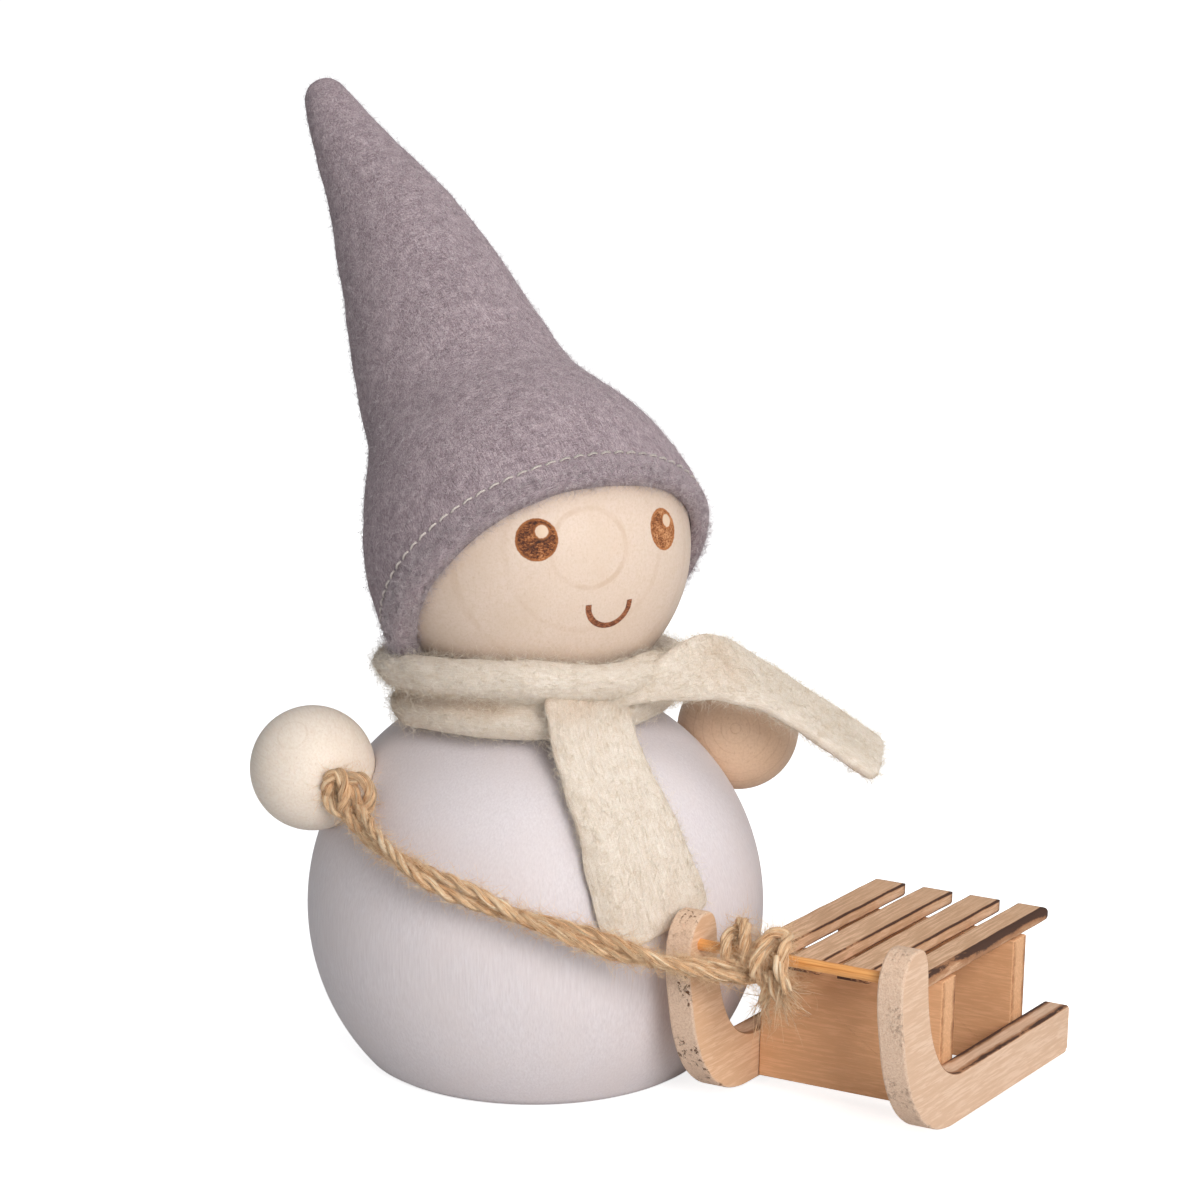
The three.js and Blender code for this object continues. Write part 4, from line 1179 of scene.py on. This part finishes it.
SLATS = 4
SLAT_WIDTH, SLAT_THICK, PITCH, DECK = 7.3, 2.8, 11.6, 31.9
SLAT_FRONT, SLAT_REAR = 19.5, 87.2


def slat_char(x, y, last):
    """How charred a point of a slat's cross-section is: thin lines on the corners, a toasted outer side."""
    side, top = SLAT_WIDTH / 2 - abs(x), SLAT_THICK / 2 - y
    corner = 1.25 * math.exp(-(side / 0.42) ** 2 - (top / 0.42) ** 2)
    low = 0.9 * math.exp(-(side / 0.4) ** 2 - ((SLAT_THICK / 2 + y) / 0.4) ** 2)
    face = 0.17 if side < 0.3 else 0.03
    if last and x < -SLAT_WIDTH / 2 + 1.5:
        face = float(np.interp(y, (-1.4, -0.7, 0.4, 1.15, 1.4), (0.35, 0.40, 0.60, 1.15, 0.90)))
    return max(corner, low, face)


def build_slats():
    """Four deck slats with charred edges. The outermost one is rounded and darker on its outer side."""
    for i in range(SLATS):
        last = i == SLATS - 1
        outer = 1.25 if last else 0.4
        outline = rounded_rectangle(SLAT_WIDTH, SLAT_THICK, (0.4, outer, outer * 0.6, 0.35), 6)
        points = []
        for corner, step in zip(outline, np.roll(outline, -1, axis=0) - outline):
            points.append(corner)
            if np.linalg.norm(step) > 1.0:
                points += [corner + step * s for s in (0.04, 0.1, 0.2, 0.5, 0.8, 0.9, 0.96)]
        half = (SLAT_REAR - SLAT_FRONT) / 2
        cuts = np.linspace(-half, half, 60)
        points = np.array(points)
        weight = np.array([slat_char(x, y, last) for x, y in points])
        inward = inward_of(points)
        rings, burns = [], []
        for n, x in enumerate(cuts):
            edge = min(n, len(cuts) - 1 - n)
            inset = 0.0 if edge else 0.3
            x = np.clip(x, 0.05 - half, half - 0.05)
            uneven = 0.10 * wobble((x, i * 40.0, 0), 7)
            flat = points + inward * inset + np.array([uneven, 0.05 * wobble((x, 9, i * 20.0), 9)])
            rings.append(np.column_stack([np.full(len(flat), x), flat]))
            burns += list(weight + (0.6, 0.12, 0.0)[min(edge, 2)])
        verts, faces = loft(rings)
        y = SLED_WIDTH / 2 - PITCH * (SLATS - 1) / 2 + PITCH * i
        place = sled_place((SLAT_FRONT + SLAT_REAR) / 2, y, DECK - SLAT_THICK / 2)
        add_piece(f"slat_{i + 1}", verts, faces, PLY_SLAT, "sled", [f"deck_slat_{i + 1}"], {"burn": burns},
                  20, place)


PLATE_DEPTH, PLATE_FOOT, PLATE_GAP = 6.5, 0.5, 0.3  # the foot is over the surface, the gap under the slats
PLATE_FRONTS = {"front": 31.7, "rear": 68.0}


def build_plates():
    """The two cross plates between the runners."""
    height = DECK - SLAT_THICK - PLATE_GAP - PLATE_FOOT
    width = SLED_WIDTH - 2 * RUNNER - 0.2
    for end, front in PLATE_FRONTS.items():
        outline = rounded_rectangle(width, height, (0.3,) * 4, 3)
        points, burn = [], []
        for corner, step in zip(outline, np.roll(outline, -1, axis=0) - outline):
            side = np.linalg.norm(step) > 5
            upright = side and abs(step[0]) < 0.01
            parts = 20 if side else 1
            for k in range(parts):
                points.append(corner + step * k / parts)
                burn.append(0.62 if upright else 0.3)
        verts, faces, marks = prism(np.array(points), PLATE_DEPTH, 0.35, burn, np.zeros(len(points)))
        verts = np.column_stack([verts[:, 2], verts[:, 0], verts[:, 1]])
        place = sled_place(front + PLATE_DEPTH / 2, SLED_WIDTH / 2, PLATE_FOOT + height / 2)
        add_piece(end + "_plate", verts, faces, PLY_PLATE, "sled", [end + "_cross_plate"], marks, 20, place)


BAR_RADIUS, BAR_SOCKET = 1.22, 2.7


def build_tow_bar():
    """A split bamboo stick, a little uneven, with long facets. Its ends sit in the posts."""
    reach = (SLED_WIDTH - 2 * RUNNER) / 2 + BAR_SOCKET
    rings = []
    turn = np.linspace(0, TAU, 18, endpoint=False)
    for y in np.linspace(-reach, reach, 70):
        radius = BAR_RADIUS + 0.05 * np.sin(turn * 5 + 0.4) + 0.03 * math.sin(y * 0.9)
        rings.append(np.column_stack([radius * np.cos(turn), np.full(len(turn), y), radius * np.sin(turn)]))
    verts, faces = loft(rings)
    add_piece("bamboo_bar", verts, faces, BAMBOO, "sled", ["tow_bar"], sharp=60,
              place=sled_place(BAR[0], SLED_WIDTH / 2, BAR[2]))


def around_bar(y, angle, radius):
    """A point round the tow bar. Angle 0 is ahead of the bar, 90 above it."""
    a = math.radians(angle)
    return sled_point(BAR[0] - radius * math.cos(a), y, BAR[2] + radius * math.sin(a))


def bar_path(points, count):
    """A curve through points that are given round the tow bar."""
    return spline([around_bar(*point) for point in points], count)


def build_sled_knots():
    """A small loop and a frayed knot, both wound round the tow bar."""
    ends = rope_pair()
    loop = Yarn()
    climb = ((15.2, -70, 4.6), (14.0, -10, 3.4), (13.2, 60, 3.6), (13.6, 120, 4.0), (15.2, 190, 3.4),
             (17.2, 260, 3.2))
    over = ((18.6, -60, 3.4), (18.4, 10, 3.6), (17.4, 70, 5.4), (15.4, 100, 6.0), (13.4, 120, 5.0),
            (12.8, 190, 3.4), (14.4, 250, 3.2))
    for k, points in enumerate((climb, over)):
        loop.cord(bar_path(points, 60), CORD, 10.0, 1.1 * k)
    small = loop.piece("loop_knot_cords", "tow_knot", ["loop_knot"])
    fibres("loop_knot_fibres", small, 1000, 71, (1.2, 5.0), 0.028, (0.05, 0.8), JUTE_FIBRE, "tow_knot")

    knot = Yarn()
    turns = [(20.6 + 0.0022 * a, a - 60, 3.05 + 0.2 * math.sin(a / 60)) for a in range(0, 1080, 30)]
    knot.cord(bar_path(turns, 190), CORD, 11.0, 0.3)
    bight = ((24.4, -120, 3.2), (26.6, -40, 4.2), (27.2, 40, 4.6), (25.6, 100, 5.2), (23.2, 60, 6.0),
             (21.6, -10, 5.6), (21.8, -70, 5.2))
    knot.cord(bar_path(bight, 80), CORD, 11.0, 2.1)
    for k, end in enumerate(ends):
        target = around_bar(21.5 + 2 * k, -75 - 20 * k, 3.4)
        start = end[-8]
        hidden = around_bar(23.5 + 2 * k, -120, 3.2)
        path = spline([start, end[-1], target + (end[-1] - start) * 0.1, hidden], 40)
        knot.cord(path, CORD, 13.0, 1.0 + k)
    tails = (((24.0, -30, 4.2), (25.6, -50, 6.6), (27.2, -66, 8.6)),
             ((22.6, -60, 4.6), (22.4, -76, 7.4), (21.8, -84, 10.0)),
             ((26.0, 20, 4.6), (27.8, -10, 6.2), (29.6, -40, 7.2)))
    rng = np.random.default_rng(81)
    for points in tails:
        path = bar_path(points, 22)
        knot.cord(path, 1.2, 12.0, 0.7)
        heading = unit(path[-1] - path[-4])
        for _ in range(26):
            spread = rng.normal(size=3) * 0.42
            size = rng.uniform(3.0, 8.5)
            start = path[-5] + rng.normal(size=3) * 0.55
            way = unit(heading + spread)
            sag = np.array([0, 0, -1.0]) * size * rng.uniform(-0.15, 0.4)
            hair = spline([start, start + way * size * 0.5, start + way * size + sag], 8)
            knot.strand(hair, 0.085 * np.linspace(1, 0.4, 8), 4)
    big = knot.piece("frayed_knot_cords", "tow_knot", ["frayed_knot"])
    fibres("frayed_knot_fibres", big, 2200, 72, (1.5, 6.5), 0.028, (0.05, 0.8), JUTE_FIBRE, "tow_knot")


# ------------------------------------------------------------------ build it all

build_body()
build_head()
build_hands()
for node in ("neck_dowel", "right_arm_dowel", "left_arm_dowel"):
    hidden = frame["nodes"][node]
    hidden.data.materials.clear()
    hidden.data.materials.append(DOWEL_WOOD)
build_hat()
build_stitches()
build_wrap()
build_front_tail()
build_side_tail()
build_rope()
build_hand_knot()
build_runners()
build_slats()
build_plates()
build_tow_bar()
build_sled_knots()


# ------------------------------------------------------------------ floor, light and camera


def build_floor():
    """A pale sheet that the camera sees as white, lying just under the figure."""
    mesh = bpy.data.meshes.new("floor")
    size, drop = 6.0, 0.0002
    corners = [(-size, -size, -drop), (size, -size, -drop), (size, size, -drop), (-size, size, -drop)]
    mesh.from_pydata(corners, [], [(0, 1, 2, 3)])
    floor = bpy.data.objects.new("floor", mesh)
    bpy.context.scene.collection.objects.link(floor)
    g = Graph("floor_paper")
    colour = g.ramp(g.noise(40, 3), (0.3, (0.73, 0.73, 0.73, 1)), (0.7, (0.75, 0.75, 0.75, 1)))
    seen = g.node("LightPath").outputs["Is Camera Ray"]
    glow = {"Emission Color": (1, 1, 1, 1), "Emission Strength": g.times(seen, 0.8)}
    mesh.materials.append(g.finish(colour, 0.9, specular=0.0, **glow))


def build_world():
    """A dim surround that looks white behind the floor's edge."""
    g = Graph("studio", bpy.data.worlds)
    strength = g.math("MULTIPLY_ADD", g.node("LightPath").outputs["Is Camera Ray"], 0.70, 0.35)
    background = g.node("Background", {"Color": (0.96, 0.98, 1.0, 1), "Strength": strength})
    g.node("OutputWorld", {0: background.outputs[0]})
    bpy.context.scene.world = g.owner


def disk_light(name, spot, target, size, power, colour=(1, 1, 1)):
    """A soft round light that faces the target."""
    light = bpy.data.lights.new(name, "AREA")
    light.shape = "DISK"
    light.size = size
    light.energy = power
    light.color = colour
    lamp = bpy.data.objects.new(name, light)
    lamp.location = spot
    lamp.rotation_euler = (Vector(target) - Vector(spot)).to_track_quat("-Z", "Y").to_euler()
    bpy.context.scene.collection.objects.link(lamp)


build_floor()
build_world()
TARGET = (0.0, 0.0, 0.09)
disk_light("key", (0.12, -1.22, 0.66), TARGET, 0.7, 13.8, (1.0, 0.98, 0.96))
disk_light("top", (0.5, -0.2, 1.3), TARGET, 0.9, 3.8)
bpy.context.scene.view_settings.view_transform = "Standard"

camera = bpy.data.objects.new("camera", bpy.data.cameras.new("camera"))
camera.data.lens = 126
camera.data.sensor_width = 36
camera.data.clip_end = 20
camera.location = (-0.2594, -0.8382, 0.3282)
camera.rotation_euler = (math.radians(90 - 14.45), 0, math.radians(-18.12))
bpy.context.scene.collection.objects.link(camera)
bpy.context.scene.camera = camera
